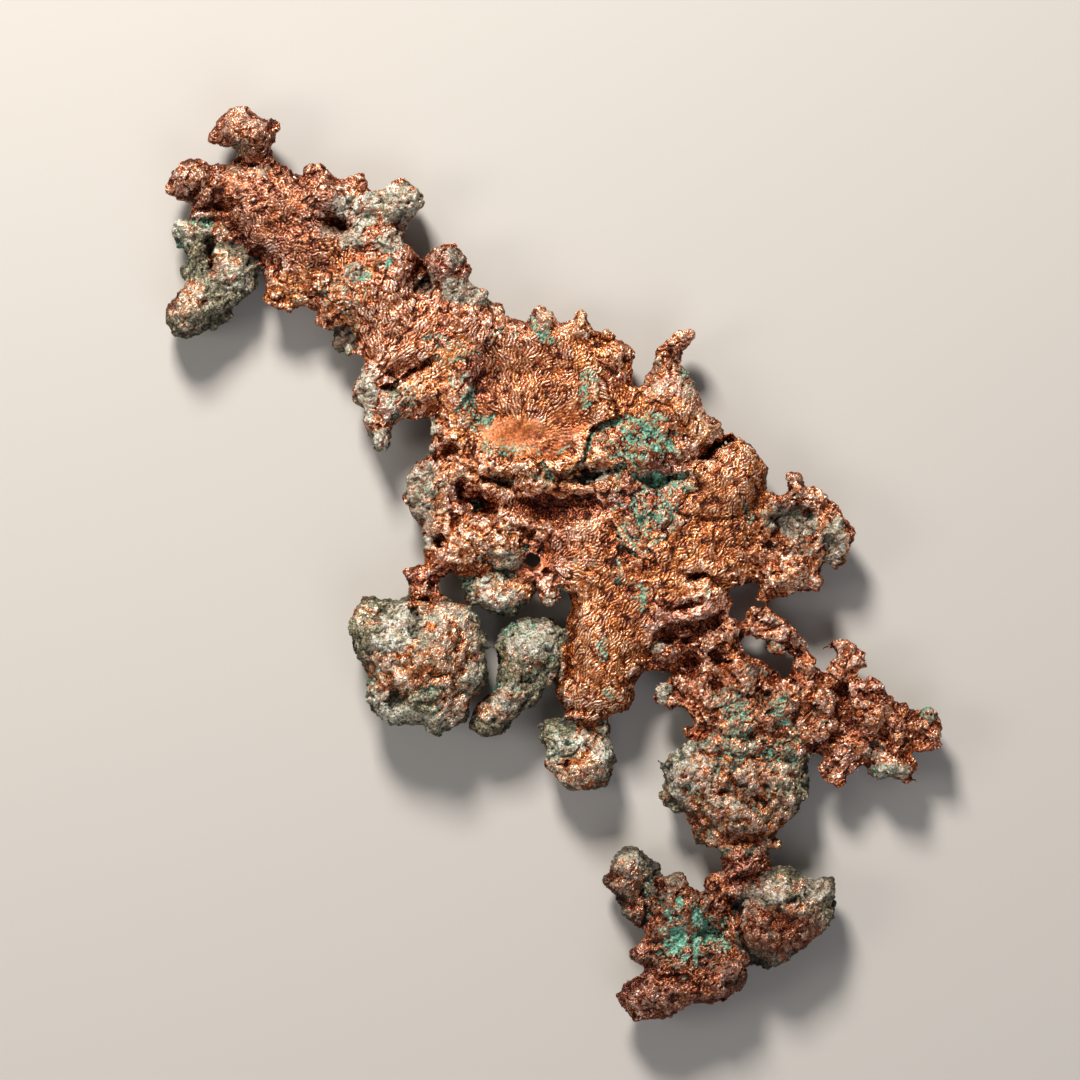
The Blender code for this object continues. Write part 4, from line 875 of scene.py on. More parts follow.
def relief_kept(points):
    """1 where the relief is whole, down to almost 0 in a smooth heart."""
    return 1 - HEART_KEPT * cover(points, HEARTS, 0.55, 2.4, 49)


rocky = rockiness(points)
normals = skin_normals(points, faces)
wall = 1 - np.abs(normals[:, 2])
ragged = np.maximum(raggedness(points), RAGGED_WALL * wall * step(normals[:, 2], *WALL_FACING))
calm = calmness(points)
caps, tag = lump_caps(points, KNUCKLE[0], 0.6, 31)
sheet_lift = FOLD[1] * (1 - 0.85 * calm) * soft_noise(points, FOLD[0], 35)
sheet_lift += KNUCKLE[1] * (0.16 * (1 - calm) + 0.84 * ragged) * (caps - LUMP_MEAN) * (0.5 + tag)
sheet_lift += WRINKLE[1] * (1 - 0.75 * calm) * (0.5 - 2.2 * np.abs(soft_noise(points, WRINKLE[0], 36)))
sheet_lift += ragged * rough(points, RAGGED_NOISE)
sheet_lift *= relief_kept(points)
caps, tag = lump_caps(points, CAULIFLOWER[0], 0.7, 41)
rock_lift = BOULDER[1] * soft_noise(points, BOULDER[0], 45)
rock_lift += CAULIFLOWER[1] * (caps - LUMP_MEAN) * (0.5 + tag)
rock_lift += rough(points, ROCK_NOISE)
lift = sheet_lift * (1 - rocky) + rock_lift * rocky + wall * rough(points, EDGE_NOISE)
points += lift[:, None] * normals
points = parted(points)
points, faces = through_modifiers(points, faces, [even_skin(SKIN_GRAIN), smoothing(1)])

down = skin_normals(points, faces)[:, 2] < UNDERSIDE
kept = 1 - down[faces].all(axis=1).mean() * (1 - UNDERSIDE_KEPT)
thinning = {"ratio": kept, "vertex_group": "marked", "use_collapse_triangulate": True}
points, faces = through_modifiers(points, faces, [("DECIMATE", thinning)], down)

# ---------------------------------------------------------------------------------------------------------
# Ore and patina: what is left of the rock on the copper, the copper that stands out of the rock, and the
# green carbonate that copper grows where damp stays. Each is a share from 0 to 1 at every point of the skin.

# Rock that crusts the copper, copper that threads the rock, and paler rock, and how much of it
CRUST = [
    (-41.4, 71.6, 3.4, 2.4, 0, 1),  # white patch
    (-37.6, 69, 3.6, 1.6, 20, 0.9), (-40.4, 65.4, 2.8, 2.4, 0, 0.9),
    (-30.8, 72, 6, 4.4, -10, 0.9),  # pale end
    (-32.8, 64.6, 3.2, 2.8, 0, 0.8), (-36.4, 73, 2, 2, 0, 0.9), (-39.8, 58, 2.8, 2, 0, 0.7),
    (-44.8, 66.6, 2, 1.2, 0, 0.5),
    (-18.4, 54.6, 5.2, 2.8, -15, 0.95),  # pale top of the cluster
    (-19.6, 61.4, 2, 2, 0, 0.8), (-14, 53.4, 2, 1.6, 0, 0.8), (-25.8, 56, 2.4, 2.8, 0, 0.5),
    (-10.8, 51.4, 2, 1.2, 0, 0.5), (-1.8, 50, 1.6, 1.2, 0, 0.5),
    (-37.6, 33, 2.4, 6, -5, 0.85),  # grey side of the spur
    (-34.8, 25, 3.2, 2.8, 0, 0.9), (-38.8, 38.6, 1.6, 2.4, 0, 0.6), (-30.8, 33.4, 5.2, 2.4, 10, 0.55),
    (-24.4, 28, 1.6, 2, 0, 0.8), (-24.8, 23, 1.6, 1.2, 0, 0.6),
    (-26.8, 13, 3.4, 7.2, 0, 0.75),  # grey left edge
    (-26, 18, 3.2, 2.4, 0, 0.75), (-26, 5, 1.6, 2, 0, 0.8), (-10.8, 1.8, 4.4, 2, 0, 0.6),
    (-9.4, 0.6, 3.2, 1.6, 0, 0.7), (20.2, 36, 2.8, 2, 0, 0.3), (26.8, 36, 2.8, 3.6, -30, 0.5),
    (20.2, 40, 2.4, 1.6, 0, 0.5),
    (48.2, 8.6, 5.2, 3.4, 0, 0.95),  # rock in the knob's bowl
    (56, 5, 2.6, 4.8, 0, 0.9), (49.2, 3.4, 4, 1.6, 0, 0.5), (43.2, 10, 2.4, 2, 0, 0.4),
    (47.2, -3, 4, 1.2, 0, 0.3), (20.6, -16.6, 2, 1.6, 0, 0.8),
    (21.8, -25.4, 1.8, 2.2, 0, 0.95),  # stub of stone
    (43.2, -11, 2.4, 1.4, -25, 0.4), (49.2, -15, 1.6, 1.2, 0, 0.5), (43.2, -16, 2.8, 1.6, -20, 0.5),
    (36.2, -33, 2.4, 1.6, 0, 0.4), (75.6, -29.4, 2, 1.8, 0, 0.8), (67.2, -41.4, 4.8, 1.8, 0, 0.8),
    (64.2, -37, 2, 1.8, 0, 0.5), (55.2, -41, 1.8, 1.6, 0, 0.3), (40.2, -21, 2.8, 1.4, -25, 0.5),
    (31.6, -27, 1.6, 2, 0, 0.35), (38.2, -25, 2, 2, 0, 0.3), (23.6, -63, 2.8, 1.8, 0, 0.6),
    (23.2, -68, 2.8, 4, 0, 0.45), (34.2, -61, 1.6, 1.6, 0, 0.3), (29.2, -67, 2, 2.4, 0, 0.4),
    (21.2, -74, 2.8, 2, 0, 0.4), (33.2, -80, 3.6, 2, 0, 0.35), (-62.8, 84, 2.4, 1.6, 0, 0.4),
    (-59.2, 89, 2, 1.6, 0, 0.25), (-68.4, 68, 3.2, 1.6, 0, 0.4), (-72.4, 67.4, 2.4, 1.6, 0, 0.4),
    (-58.4, 78.6, 1.6, 1.2, 0, 0.5), (-63.8, 79, 1.6, 1.2, 0, 0.4), (22.2, -67, 2, 2.4, 0, 0.6),
    (27.2, -70, 2.8, 2, 0, 0.4), (19.2, -79, 2.4, 2, 0, 0.35), (36.2, -84, 2.8, 2, 0, 0.4),
    (29.2, -79, 2, 2, 0, 0.35), (43.2, -27, 2.8, 2, 0, 0.4), (35.2, -27, 4, 2.8, 0, 0.5),
    (53.2, -31, 2.8, 2, 0, 0.3), (-1.2, -6.6, 1.6, 1.4, 0, 0.5), (-24.8, -5, 1.6, 1.2, 0, 0.2),
    (9.6, 25, 1.6, 2, 0, 0.25),
    (8, 17.8, 4, 1.2, 12, 0.9),  # grey inside the slot
    (7.2, 1, 4, 2.4, 0, 0.15),
]
ROCK_COPPER = [
    (-24.8, -20, 11, 5.2, 10, 0.75), (-20.8, -15, 5.2, 6.8, 0, 0.7), (-34.8, -21, 4, 4, 0, 0.55),
    (-19.8, -27, 4.8, 4, 0, 0.6), (-37.8, -10, 2.8, 2.8, 0, 0.5), (-22.8, -8, 6, 2, 0, 0.6),
    (-27.8, -7, 2, 2, 0, 0.9), (-10.8, -28, 4.8, 2.8, 30, 0.45), (0.2, -23, 1.6, 1.6, 0, 0.4),
    (-6.8, -19, 4, 2.8, 0, 0.25), (-73.8, 53, 4.4, 4.8, 0, 0.5), (-65.8, 60, 3.6, 3.2, -30, 0.55),
    (-72.8, 67.4, 2, 2, 0, 0.4), (-65.8, 66.6, 2.4, 2.4, 0, 0.8), (-9.8, -5.4, 6, 3.2, 0, 0.6),
    (-5.8, -4, 2, 1.6, 0, 0.7), (5.2, -41, 5.2, 4.4, 0, 0.75), (7.2, -34, 4, 2.4, 0, 0.6),
    (-0.2, -41, 2, 2, 0, 0.5), (36.2, -45, 12, 10, 0, 0.6), (43.2, -53, 4.8, 4, 0, 0.85),
    (29.2, -51, 4, 4, 0, 0.6), (36.2, -55, 6, 2, 0, 0.9), (14.2, -63, 4, 4.4, 0, 0.6),
    (17.2, -68, 2.8, 3.2, 0, 0.8), (45.2, -73.4, 8.4, 5.6, 0, 0.95), (39.2, -72, 3.2, 5.2, 0, 0.7),
    (51.2, -70, 4, 2.8, 0, 0.4), (44.2, -64, 6, 2, 0, 0.35),
]
ROCK_PALE = [
    (-31.4, -15.4, 5, 8, -12, 1),  # pale shoulder
    (-41.4, 71.6, 3.4, 2.4, 0, 1),  # white patch
    (-37.8, 69, 3.6, 1.6, 20, 1), (-41.8, 65, 2.8, 1.8, 0, 0.9), (-30.8, 71.4, 4, 2.8, 0, 0.7),
    (-21.4, -10, 4.8, 2.8, 0, 0.5), (-31.8, -29.4, 4, 2.4, 0, 0.8), (-35.8, -25, 2.8, 3.2, 0, 0.7),
    (-24.8, -31.4, 4, 1.6, 0, 0.8), (-16.8, -19, 2.4, 6, 0, 0.5), (-4.8, -15, 6, 4, 0, 0.8),
    (-9.8, -27, 4, 2.8, 30, 0.5), (-70.8, 53, 8, 6, 0, 0.15), (-64.4, 58, 4.8, 4, 0, 0.35),
    (-74.8, 66.6, 2.4, 2.8, 0, 0.7), (-10.8, -6.6, 6, 2.8, 0, 0.9), (-12.8, -4, 4, 1.6, 0, 0.8),
    (5.2, -35.4, 2.8, 2.4, 0, 1), (0.4, -37, 2.4, 4, 0, 0.6), (9.8, -37, 2, 4, 0, 0.9),
    (26.8, -41, 5.6, 6, 0, 0.85), (41.2, -42, 6, 3.6, 0, 0.4), (37.2, -47, 6, 4, 0, 0.3),
    (14.8, -60.2, 3.6, 3.2, 0, 0.8), (42.2, -66, 5.2, 2.8, 15, 1), (52.2, -64.6, 3.2, 2.8, 0, 0.9),
    (47.2, -73, 6, 2.8, 0, 0.4), (-42, 45.2, 2.4, 2.4, 0, 0.3),
]
CRUST_GRAIN = 0.7
THREAD_GRAIN = 0.65

# Patina in broken strokes, as (half width, run), and in patches on the copper and on the rock
PATINA_STROKES = [
    (0.7, [(15.2, 29.2), (17.6, 28.8), (19.2, 26.4), (21.8, 25), (23.8, 23.4), (24.8, 21.8)]),
    (0.5, [(25.8, 19.4), (25.8, 16.6), (28, 15.4)]),
    (0.6, [(19.2, 16.2), (21.6, 16.6), (23.8, 16.2), (26.4, 15.2)]),
    (0.4, [(21, 15), (21.8, 13), (23.8, 11.6)]),
    (0.45, [(13.4, 7.8), (14.6, 5.6), (16.2, 3.2)]),
    (0.45, [(19.6, 4.6), (22, 5.4), (23.8, 7.8)]),
    (0.4, [(11.4, 10.8), (13, 12.2), (15.2, 11.6)]),
    (0.4, [(-2.6, 20.8), (-1.6, 19.6), (-0.4, 19)]),
    (0.3, [(-4.6, 18), (-2.8, 17.2), (-1.4, 16.4)]),
    (0.35, [(9.6, 22.6), (11.6, 21.6)]),
    (0.4, [(2.4, 18.2), (5.2, 20.2), (6.8, 23.4), (7.6, 26.2), (10, 28.2)]),
    (0.5, [(9.2, 27), (11.6, 28.6), (14, 28.2), (16, 27)]),
    (0.4, [(11.2, 25), (12.8, 23.6), (12.4, 21.8)]),
    (0.35, [(8.8, 23.6), (10, 22), (11.6, 21)]),
    (0.5, [(-19.4, 30.6), (-18.2, 33), (-16.8, 36)]),
    (0.4, [(-16.8, 34), (-18, 31.4), (-16, 30.2)]),
    (0.5, [(-15.6, 28.2), (-14, 28.8), (-12.4, 29.8)]),
    (0.5, [(-4.4, 49.4), (-3.8, 47), (-2.4, 45.4), (-0.4, 44.6)]),
    (0.4, [(-20.8, 40.6), (-18.8, 41.4), (-17.6, 42.6)]),
    (0.35, [(-25.8, 45.4), (-22.8, 45.8)]),
    (0.6, [(7.2, 38.6), (8.8, 37)]),
    (0.4, [(6.4, 35), (5.8, 32.6)]),
    (0.35, [(9.2, -15.6), (10.4, -18.6)]),
    (0.35, [(10, -25), (11.4, -26.4)]),
    (0.4, [(15.6, 18), (18.2, 17), (21.2, 17)]),
    (0.4, [(17.6, 13), (19.2, 10.6), (18.4, 8.2)]),
    (0.35, [(22.8, 11), (24.4, 9), (23.2, 6.6)]),
    (0.35, [(9.2, 21.4), (7.2, 20.4), (5.2, 19)]),
    (0.3, [(1.2, 22.6), (2.8, 23.8)]),
    (0.3, [(-10.8, 23.8), (-8, 23), (-5.2, 23.4)]),
    (0.35, [(12.8, 1), (13.6, -1.4), (12.4, -3.8)]),
    (0.35, [(17.2, -4), (18.2, -7), (17.2, -9.4)]),
    (0.35, [(-1.2, 45.4), (1.2, 44.2)]),
]
PATINA_SPOTS = [
    (17.2, 25, 6.8, 5.2, 20, 0.9),  # green ground right of the ledge
    (22.2, 17, 6, 2.8, 0, 0.9), (20.2, 12, 5.2, 5.2, 0, 0.8), (17.2, 6, 4.8, 4, 0, 0.6),
    (14.2, 19, 3.2, 4.8, 0, 0.6), (7.2, 36.4, 2, 3.2, 15, 0.9), (6.2, 34, 1.4, 2.4, 0, 0.8),
    (-2.8, 46.6, 2.4, 2.4, 0, 0.8), (-18.2, 34.6, 2, 5.2, 25, 0.8), (-14.8, 28.4, 3.6, 2, 0, 0.7),
    (-10.8, 23.6, 8, 1.6, -5, 0.6), (-1.8, 17.4, 3.2, 2, 0, 0.5), (30.2, -6.4, 2, 2, 0, 0.8),
    (16.6, -7.8, 2, 1.6, 0, 0.6), (38.8, 10, 1.2, 2.4, 0, 0.7), (36.8, -30.6, 3.2, 5.2, 15, 0.8),
    (45.4, -29.4, 3, 3.4, -20, 0.8), (39.6, -35.8, 6.8, 2.8, 0, 0.6), (33.6, -34.6, 3.2, 2.8, 0, 0.5),
    (48.2, -34, 2.4, 2.4, 0, 0.5), (31.6, -27.4, 1.8, 1.6, 0, 0.5), (49.2, -20, 1.8, 1.4, 0, 0.4),
    (58.2, -18, 1.4, 1.2, 0, 0.5),
    (26.4, -74.2, 5.6, 6.4, 0, 1.3),  # green hollow of the fork
    (32.2, -74, 3.6, 4, 0, 0.9), (19.2, -68, 1.6, 2, 0, 0.4), (-34.2, 60.6, 1.6, 1.6, 0, 1),
    (-37.6, 57.8, 1.8, 1.4, 0, 0.8), (-50.8, 53, 2, 1, 0, 0.4), (-62.2, 83, 2, 1.2, 0, 0.35),
    (-69.8, 68, 2.8, 1.6, 0, 0.5), (9.6, -17, 1.4, 2.4, 0, 0.6), (10.6, -25.6, 1.6, 1.2, 0, 0.5),
    (17.2, -31, 1.6, 1.2, 0, 0.3), (12.8, -2, 2, 2.4, 0, 0.45), (17.2, -5, 2, 2.4, 0, 0.4),
    (-15.8, 12, 2, 1.2, 0, 0.5), (-24.8, 5, 2, 1.6, 0, 0.5), (-8.8, 7, 1.6, 1.6, 0, 0.3),
    (-22.8, 14, 3.2, 4, 0, 0.35), (-10.2, 17.4, 3.6, 1.2, -14, 0.4), (8.4, 17.8, 4.4, 1.4, 10, 0.15),
    (1.2, -6, 2, 1.6, 0, 0.5), (47.2, 17, 1.6, 1.2, 0, 0.4), (75.2, -30, 2, 2, 0, 0.5),
    (67.2, -41, 3.6, 1.6, 0, 0.5), (-30.8, 33, 2.8, 4, 0, 0.4), (-41.8, 53, 8, 4, -35, 0.25),
    (-19.8, 43, 6, 2.4, 0, 0.45), (-10.8, 46, 4, 2, 0, 0.4), (-6.8, 4, 2, 1.2, 0, 0.3),
    (27.2, 39, 2.8, 4, -30, 0.5),
]
ROCK_GREEN = [
    (-36.8, -24, 1.6, 3.2, 0, 0.6), (-22.8, -29.4, 4, 2.4, 0, 0.5), (-6.8, -13, 4, 1.6, 0, 0.7),
    (-9.8, -25, 3.2, 1.6, 0, 0.7), (-2.8, -23, 2.4, 2, 0, 0.7), (-1.2, -17, 2, 2, 0, 0.5),
    (-74.2, 66, 1.6, 2.8, 0, 0.6), (-72.8, 60.6, 1.2, 1.6, 0, 0.5), (1.2, -35, 2, 3.2, 0, 0.6),
    (32.2, -40.2, 5.2, 2.4, 8, 0.5), (29.2, -45, 2.8, 2.8, 0, 0.4), (39.6, -49, 2.8, 1.6, 0, 0.4),
    (-9.8, -8, 4, 1.2, 0, 0.5), (-16.8, -4, 1.6, 1.2, 0, 0.6), (-24.8, -25, 4, 1.6, 0, 0.5),
    (47.2, -79, 2, 1, 0, 0.3), (18.2, -64, 1.6, 2, 0, 0.4), (46.2, -40, 3.2, 1.6, 0, 0.6),
]
PATINA_GRAIN = 0.45
STROKE_MARGIN = 3  # how far from its run a stroke is worked out
STROKE_UNEVEN = [(1.0, 1.5, 61), (0.7, 0.7, 62)]
BLUR_CELL = 0.4  # heights are blurred on cells of this size
DAMP_REACH, DAMP_DEPTH = 1.2, 0.4  # how far round, and how far down, a place is as damp as it gets


def sunken(points, upward, reach):
    """How far each point lies below the upper skin around it: the mean height there, blurred by a bell curve
    of that reach, less the point's own height."""
    place = np.floor((points[:, :2] - field_start) / BLUR_CELL).astype(int)
    shape = place.max(axis=0) + 1
    flat = place[:, 0] * shape[1] + place[:, 1]
    waves = np.fft.fftfreq(shape[0])[:, None] ** 2 + np.fft.rfftfreq(shape[1]) ** 2
    bell = np.exp(-2 * (np.pi * reach / BLUR_CELL) ** 2 * waves)
    blurred = [
        np.fft.irfft2(np.fft.rfft2(np.bincount(flat, weight, shape.prod()).reshape(shape)) * bell, shape)
        for weight in (upward * points[:, 2], upward)
    ]
    mean = blurred[0] / np.maximum(blurred[1], 1e-3)
    return (mean[place[:, 0], place[:, 1]] - points[:, 2]) * upward


def speckle(points, share, size, salt):
    """1 in grains of that size that cover about that share of the skin: a threshold on noise in two sizes."""
    noise = soft_noise(points, size, salt) + 0.6 * soft_noise(points, size * 0.45, salt + 1)
    return step(noise - 0.62 * (1 - 2 * share), -0.07, 0.07) * step(share, 0.02, 0.12)


def stroke_cover(points, strokes):
    """0 to 1 cover by strokes with broken edges: step of (half width * (1 + noise) - distance)."""
    broken = rough(points, STROKE_UNEVEN)
    most = np.zeros(len(points))
    for half_width, run in strokes:
        near = near_run(points, run, STROKE_MARGIN)
        distance = np.abs(plan_distance(points[near, :2], run)[0])
        lain = step(half_width * (1 + broken[near]) - distance, -0.12, 0.25)
        most[near] = np.maximum(most[near], lain)
    return most


rocky = rockiness(points)
is_rock = rocky > 0.5
upward = step(skin_normals(points, faces)[:, 2], *FACING_UP)
damp = np.clip(sunken(points, upward, DAMP_REACH) / DAMP_DEPTH, -1, 1)
crust_share = cover(points, CRUST, 0.45, 2.6, 71)
crust_share *= 0.9 + 0.35 * soft_noise(points, 1.8, 76)
crust = speckle(points, crust_share, CRUST_GRAIN, 77)
thread_share = 0.07 + 1.1 * cover(points, ROCK_COPPER, 0.5, 3.0, 73)
thread_share *= 0.85 + 0.8 * soft_noise(points, 2.2, 74)
threads = speckle(points, thread_share, THREAD_GRAIN, 75)
ore = np.where(is_rock, 1 - threads, crust)
pale = np.maximum(cover(points, ROCK_PALE, 0.5, 3.0, 79), 0.8 * crust_share)
green_rock = cover(points, ROCK_GREEN, 0.5, 2.0, 83) * 0.8
patch_share = np.maximum(cover(points, PATINA_SPOTS, 0.5, 2.2, 81), green_rock)
patch_share *= 0.42 + 0.7 * soft_noise(points, 2.0, 84) + 0.2 * damp
patches = speckle(points, patch_share, PATINA_GRAIN, 85)
lace = speckle(points, 0.48 + 0.15 * damp, PATINA_GRAIN, 86)
patina = np.maximum(stroke_cover(points, PATINA_STROKES) * lace, patches)

# ---------------------------------------------------------------------------------------------------------
# The copper: native metal that crinkled as it grew, in worm-like ridges that run with the growth and fan out
# from smooth hearts, and crumpled where it is ragged. Thin cracks cross it.

CRINKLE_SPACING = 0.66  # between ridges
CRINKLE_HEIGHT = 0.3
FINE_SPACING = CRINKLE_SPACING * 0.65  # finer ridges between them
FINE_HEIGHT, FINE_CRUMPLE_HEIGHT = 0.08, 0.14
RIDGE_MEAN = 0.64  # the height of a ridge that is taken as level
CREASE = (0.62, 0.27)  # crumpled places: size of their lumps, height
CRACK = (3.2, 0.34)  # thin valleys: how far apart, depth
GRIT = [(0.04, 0.5, 66)]

# Run of the ridges: x, y, reach, angle in degrees, how far they wander from it in radians
GRAIN = [
    (-61.8, 87, 8, 40, 1.2),  # top knob
    (-70.8, 75, 8, 20, 1.2),
    (-54.8, 69, 10, -35, 0.9),  # along the limb
    (-50.8, 57, 9, -40, 1),
    (-34.8, 55, 9, 120, 0.6),  # neck
    (-38.8, 47, 8, 100, 0.5), (-22.8, 49, 8, 60, 0.5), (-14.8, 47, 6, 70, 0.5),
    (-30.8, 41, 5, 35, 0.4),  # ridge above the spur
    (-22.8, 35, 6, 60, 0.7), (-33.8, 31, 7, 80, 1.3),
    (9.2, 43, 8, -60, 0.6),  # back edge
    (19.2, 33, 9, 55, 0.8),  # shoulder
    (27.2, 33, 7, 60, 0.6), (17.2, 25, 6, 40, 1.2),
    (-10.8, 21, 8, -5, 0.8),  # front lip
    (3.2, 23, 4.4, 40, 0.3),  # knuckle
    (-24.8, 15, 9, 90, 1.4),  # left edge
    (-14.8, 1, 8, 30, 1),
    (0.2, 17, 7, 0, 0.9),  # band over the cavity
    (13.2, 13, 7, 50, 1), (9.2, 1, 8, 50, 0.7),
    (17.2, -3, 8, 55, 0.7),  # lower plate
    (35.2, 19, 7, 60, 0.5),  # right lobe
    (36.2, 5, 8, 58, 0.5), (27.2, 1, 8, 50, 0.8),
    (9.2, -15, 9, 52, 0.45),  # leg
    (9.2, -27, 7, 40, 0.7),
    (49.2, 7, 12, 30, 1.4),  # knob
    (47.2, -3, 6, 20, 0.9),
    (33.2, -25, 10, 20, 1.2),  # branch
    (49.2, -27, 10, -20, 1.3), (69.2, -33, 10, -30, 1.4),
    (27.2, -67, 8, 90, 1.2),  # fork
    (25.2, -87, 9, 20, 1.2),
]

# Fans, where the ridges run out from a point: x, y, radius
FANS = [
    (-6.4, 26.2, 19),  # the big fan
    (-1.2, 0.6, 9.2),  # the little fan under the cavity
]
FAN_WEIGHT = 6  # against 1 for a place in GRAIN


def grain_field(plan):
    """The ridges' direction in plan, and their wander: doubled angles blended by exp(-(distance/reach)^2)."""
    weight = np.full(len(plan), 0.02)
    double = np.zeros((len(plan), 2)) + (0.02, 0)
    wander = weight * 1.4
    for x, y, reach, angle, stray in GRAIN:
        w = np.exp(-(((plan - (x, y)) ** 2).sum(1)) / reach**2)
        double += w[:, None] * (math.cos(2 * math.radians(angle)), math.sin(2 * math.radians(angle)))
        weight += w
        wander += w * stray
    for x, y, radius in FANS:
        away = plan - (x, y)
        distance = np.linalg.norm(away, axis=1)
        w = FAN_WEIGHT * (1 - step(distance, 0.75 * radius, 1.15 * radius))
        angle = np.arctan2(away[:, 1], away[:, 0])
        double += w[:, None] * np.stack([np.cos(2 * angle), np.sin(2 * angle)], axis=1)
        weight += w
        wander += w * (0.3 + 0.6 * step(distance, 0.4 * radius, 0.8 * radius))
    angle = np.arctan2(double[:, 1], double[:, 0]) / 2
    return np.stack([np.cos(angle), np.sin(angle), np.zeros(len(plan))], axis=1), wander / weight


def worms(points, across, along, spacing, wander, salt):
    """Worm-like ridges of even height that fork and end: 1 on the crests, 0 in the grooves.

    Scattered wave packets of (1 - r^2)^3, each turning once over each spacing across the grain and swung by
    up to wander radians, are added as turning arrows, and the ridge is |cos| of half their sum's angle.
    """
    if len(points) > STRETCH:
        return side_by_side(worms, points, across, along, spacing, wander, salt)
    reach = spacing * 1.8
    place = points / reach
    cell = np.floor(place).astype(np.int64)
    east, north = np.zeros(len(points)), np.zeros(len(points))
    for corner in np.ndindex(3, 3, 3):
        around = cell + (np.array(corner) - 1)
        spot = cell_numbers(around, salt)
        away = (place - around - spot) * reach
        fall = np.clip(1 - np.einsum("ij,ij->i", away, away) / reach**2, 0, 1) ** 3
        turn = (cell_numbers(around, salt + 7)[:, 0] * 2 - 1) * wander
        d = np.cos(turn) * np.einsum("ij,ij->i", away, across)
        d += np.sin(turn) * np.einsum("ij,ij->i", away, along)
        angle = 2 * np.pi * (d / spacing + spot[:, 1])
        east += fall * np.cos(angle)
        north += fall * np.sin(angle)
    size = np.hypot(east, north) + 1e-9
    return np.sqrt(np.clip(0.5 + 0.5 * east / size, 0, 1)) * step(size, 0.02, 0.25)


def cracked(points, size, salt):
    """Thin valleys, 1 in their middle: exp(-(n / 0.07)^2) of a soft noise n, broken off by a second noise."""
    thin = np.exp(-(soft_noise(bent(points, 0.25, 0.9, salt), size, salt + 3) / 0.07) ** 2)
    return thin * step(soft_noise(points, size, salt + 4), -0.25, 0.15)


def settled(values, faces, times):
    """Unit arrows at points, averaged with those of their neighbours over the triangles, again and again."""
    count = len(values)
    for _ in range(times):
        around = values[faces].sum(axis=1)
        share = np.bincount(faces.ravel(), minlength=count)
        total = [np.bincount(faces.ravel(), np.repeat(around[:, axis], 3), count) for axis in range(3)]
        values = np.stack(total, axis=1) / np.maximum(3 * share, 1)[:, None]
    return values / np.maximum(np.linalg.norm(values, axis=1, keepdims=True), 1e-9)


normals = skin_normals(points, faces)
ragged = raggedness(points)
calm = calmness(points)
relief = relief_kept(points)
grain, wander = grain_field(points[:, :2])
lie = settled(normals, faces, 8)
across = np.cross(lie, grain)
across /= np.maximum(np.linalg.norm(across, axis=1, keepdims=True), 0.05)
along = np.cross(across, lie)
wavy = bent(points, 0.22, 1.5, 51)
crinkle = worms(wavy, across, along, CRINKLE_SPACING, wander * 1.25, 55) - RIDGE_MEAN
fine = worms(wavy, across, along, FINE_SPACING, wander + 1.0, 57)
lumps = 2.4 * np.abs(soft_noise(points, CREASE[0], 63)) - np.abs(soft_noise(points, CREASE[0] / 2, 64)) - 0.35
sharp = 0.5 - 2.2 * np.abs(soft_noise(points, 1.7 * CREASE[0], 69))
ridges = CRINKLE_HEIGHT * crinkle + FINE_HEIGHT * (fine - RIDGE_MEAN)
crumple = CREASE[1] * (0.75 * lumps + 0.75 * sharp) + FINE_CRUMPLE_HEIGHT * (fine - RIDGE_MEAN)
order = np.clip(0.55 + 0.45 * calm - 0.6 * ragged + 0.5 * soft_noise(points, 2.4, 65), 0, 1)
strength = 0.8 + 0.45 * soft_noise(points, 2.2, 59) + 0.4 * soft_noise(points, 1.0, 60)
cracks = cracked(points, CRACK[0], 111) * (1 - 0.7 * calm)
sheet_height = relief * (strength * (order * ridges + (1 - order) * crumple) - CRACK[1] * cracks)
sheet_height += rough(points, GRIT)

# ---------------------------------------------------------------------------------------------------------
# The rock: altered lava, knobbly as a cauliflower, with a crumbly grain. Grains and threads of copper stand
# proud of it, and crusts of it lie on the copper.

KNOB = (1.2, 0.38)  # size, height
CRUMB = (0.55, 0.24)
KNOB_MEAN = 0.65  # height of a knob's cap that is taken as level
ROCK_GRIT = (0.7, 0.14)

caps, tag = lump_caps(points, KNOB[0], 0.3, 91)
crumbs, crumb_tag = lump_caps(points, CRUMB[0], 0.1, 95)
rock_height = KNOB[1] * (caps - KNOB_MEAN) * (0.4 + 1.2 * tag)
rock_height += CRUMB[1] * (crumbs - KNOB_MEAN) * (0.4 + 1.2 * crumb_tag)
rock_height += ROCK_GRIT[1] * soft_noise(points, ROCK_GRIT[0], 99) - 1.2 * CRACK[1] * cracks
thread_height = 0.12 + 0.26 * (fine - 0.5) + 0.5 * rock_height
over_rock = ore * rock_height + (1 - ore) * thread_height
over_copper = (1 - ore) * sheet_height + ore * (0.08 + 0.75 * rock_height)
lift = np.where(is_rock, over_rock, over_copper)
points += lift[:, None] * normals

# Tone: a point's height in its own relief, less what it is sunk below the skin round it, near and wide. It
# lightens the colour on crests and darkens it in grooves and hollows: partly metal rubbed bright and oxide and
# dirt left low, partly painted highlight and painted shade.
metal_shown = np.where(is_rock, 1.2 * thread_height - 0.22, (2.5 - ragged) * sheet_height)
shown = np.where(ore > 0.5, rock_height, metal_shown)
hollow = sunken(points, upward, 0.9) / 0.6 + sunken(points, upward, 2.4) / 2.0
shade = (0.2 + 0.1 * rocky) * np.clip(hollow, -1, 1)
tone = np.clip(0.5 + shown - 0.06 * (1 - relief) - shade, 0, 1)
points = np.clip(points, low, high)
normals = skin_normals(points, faces)
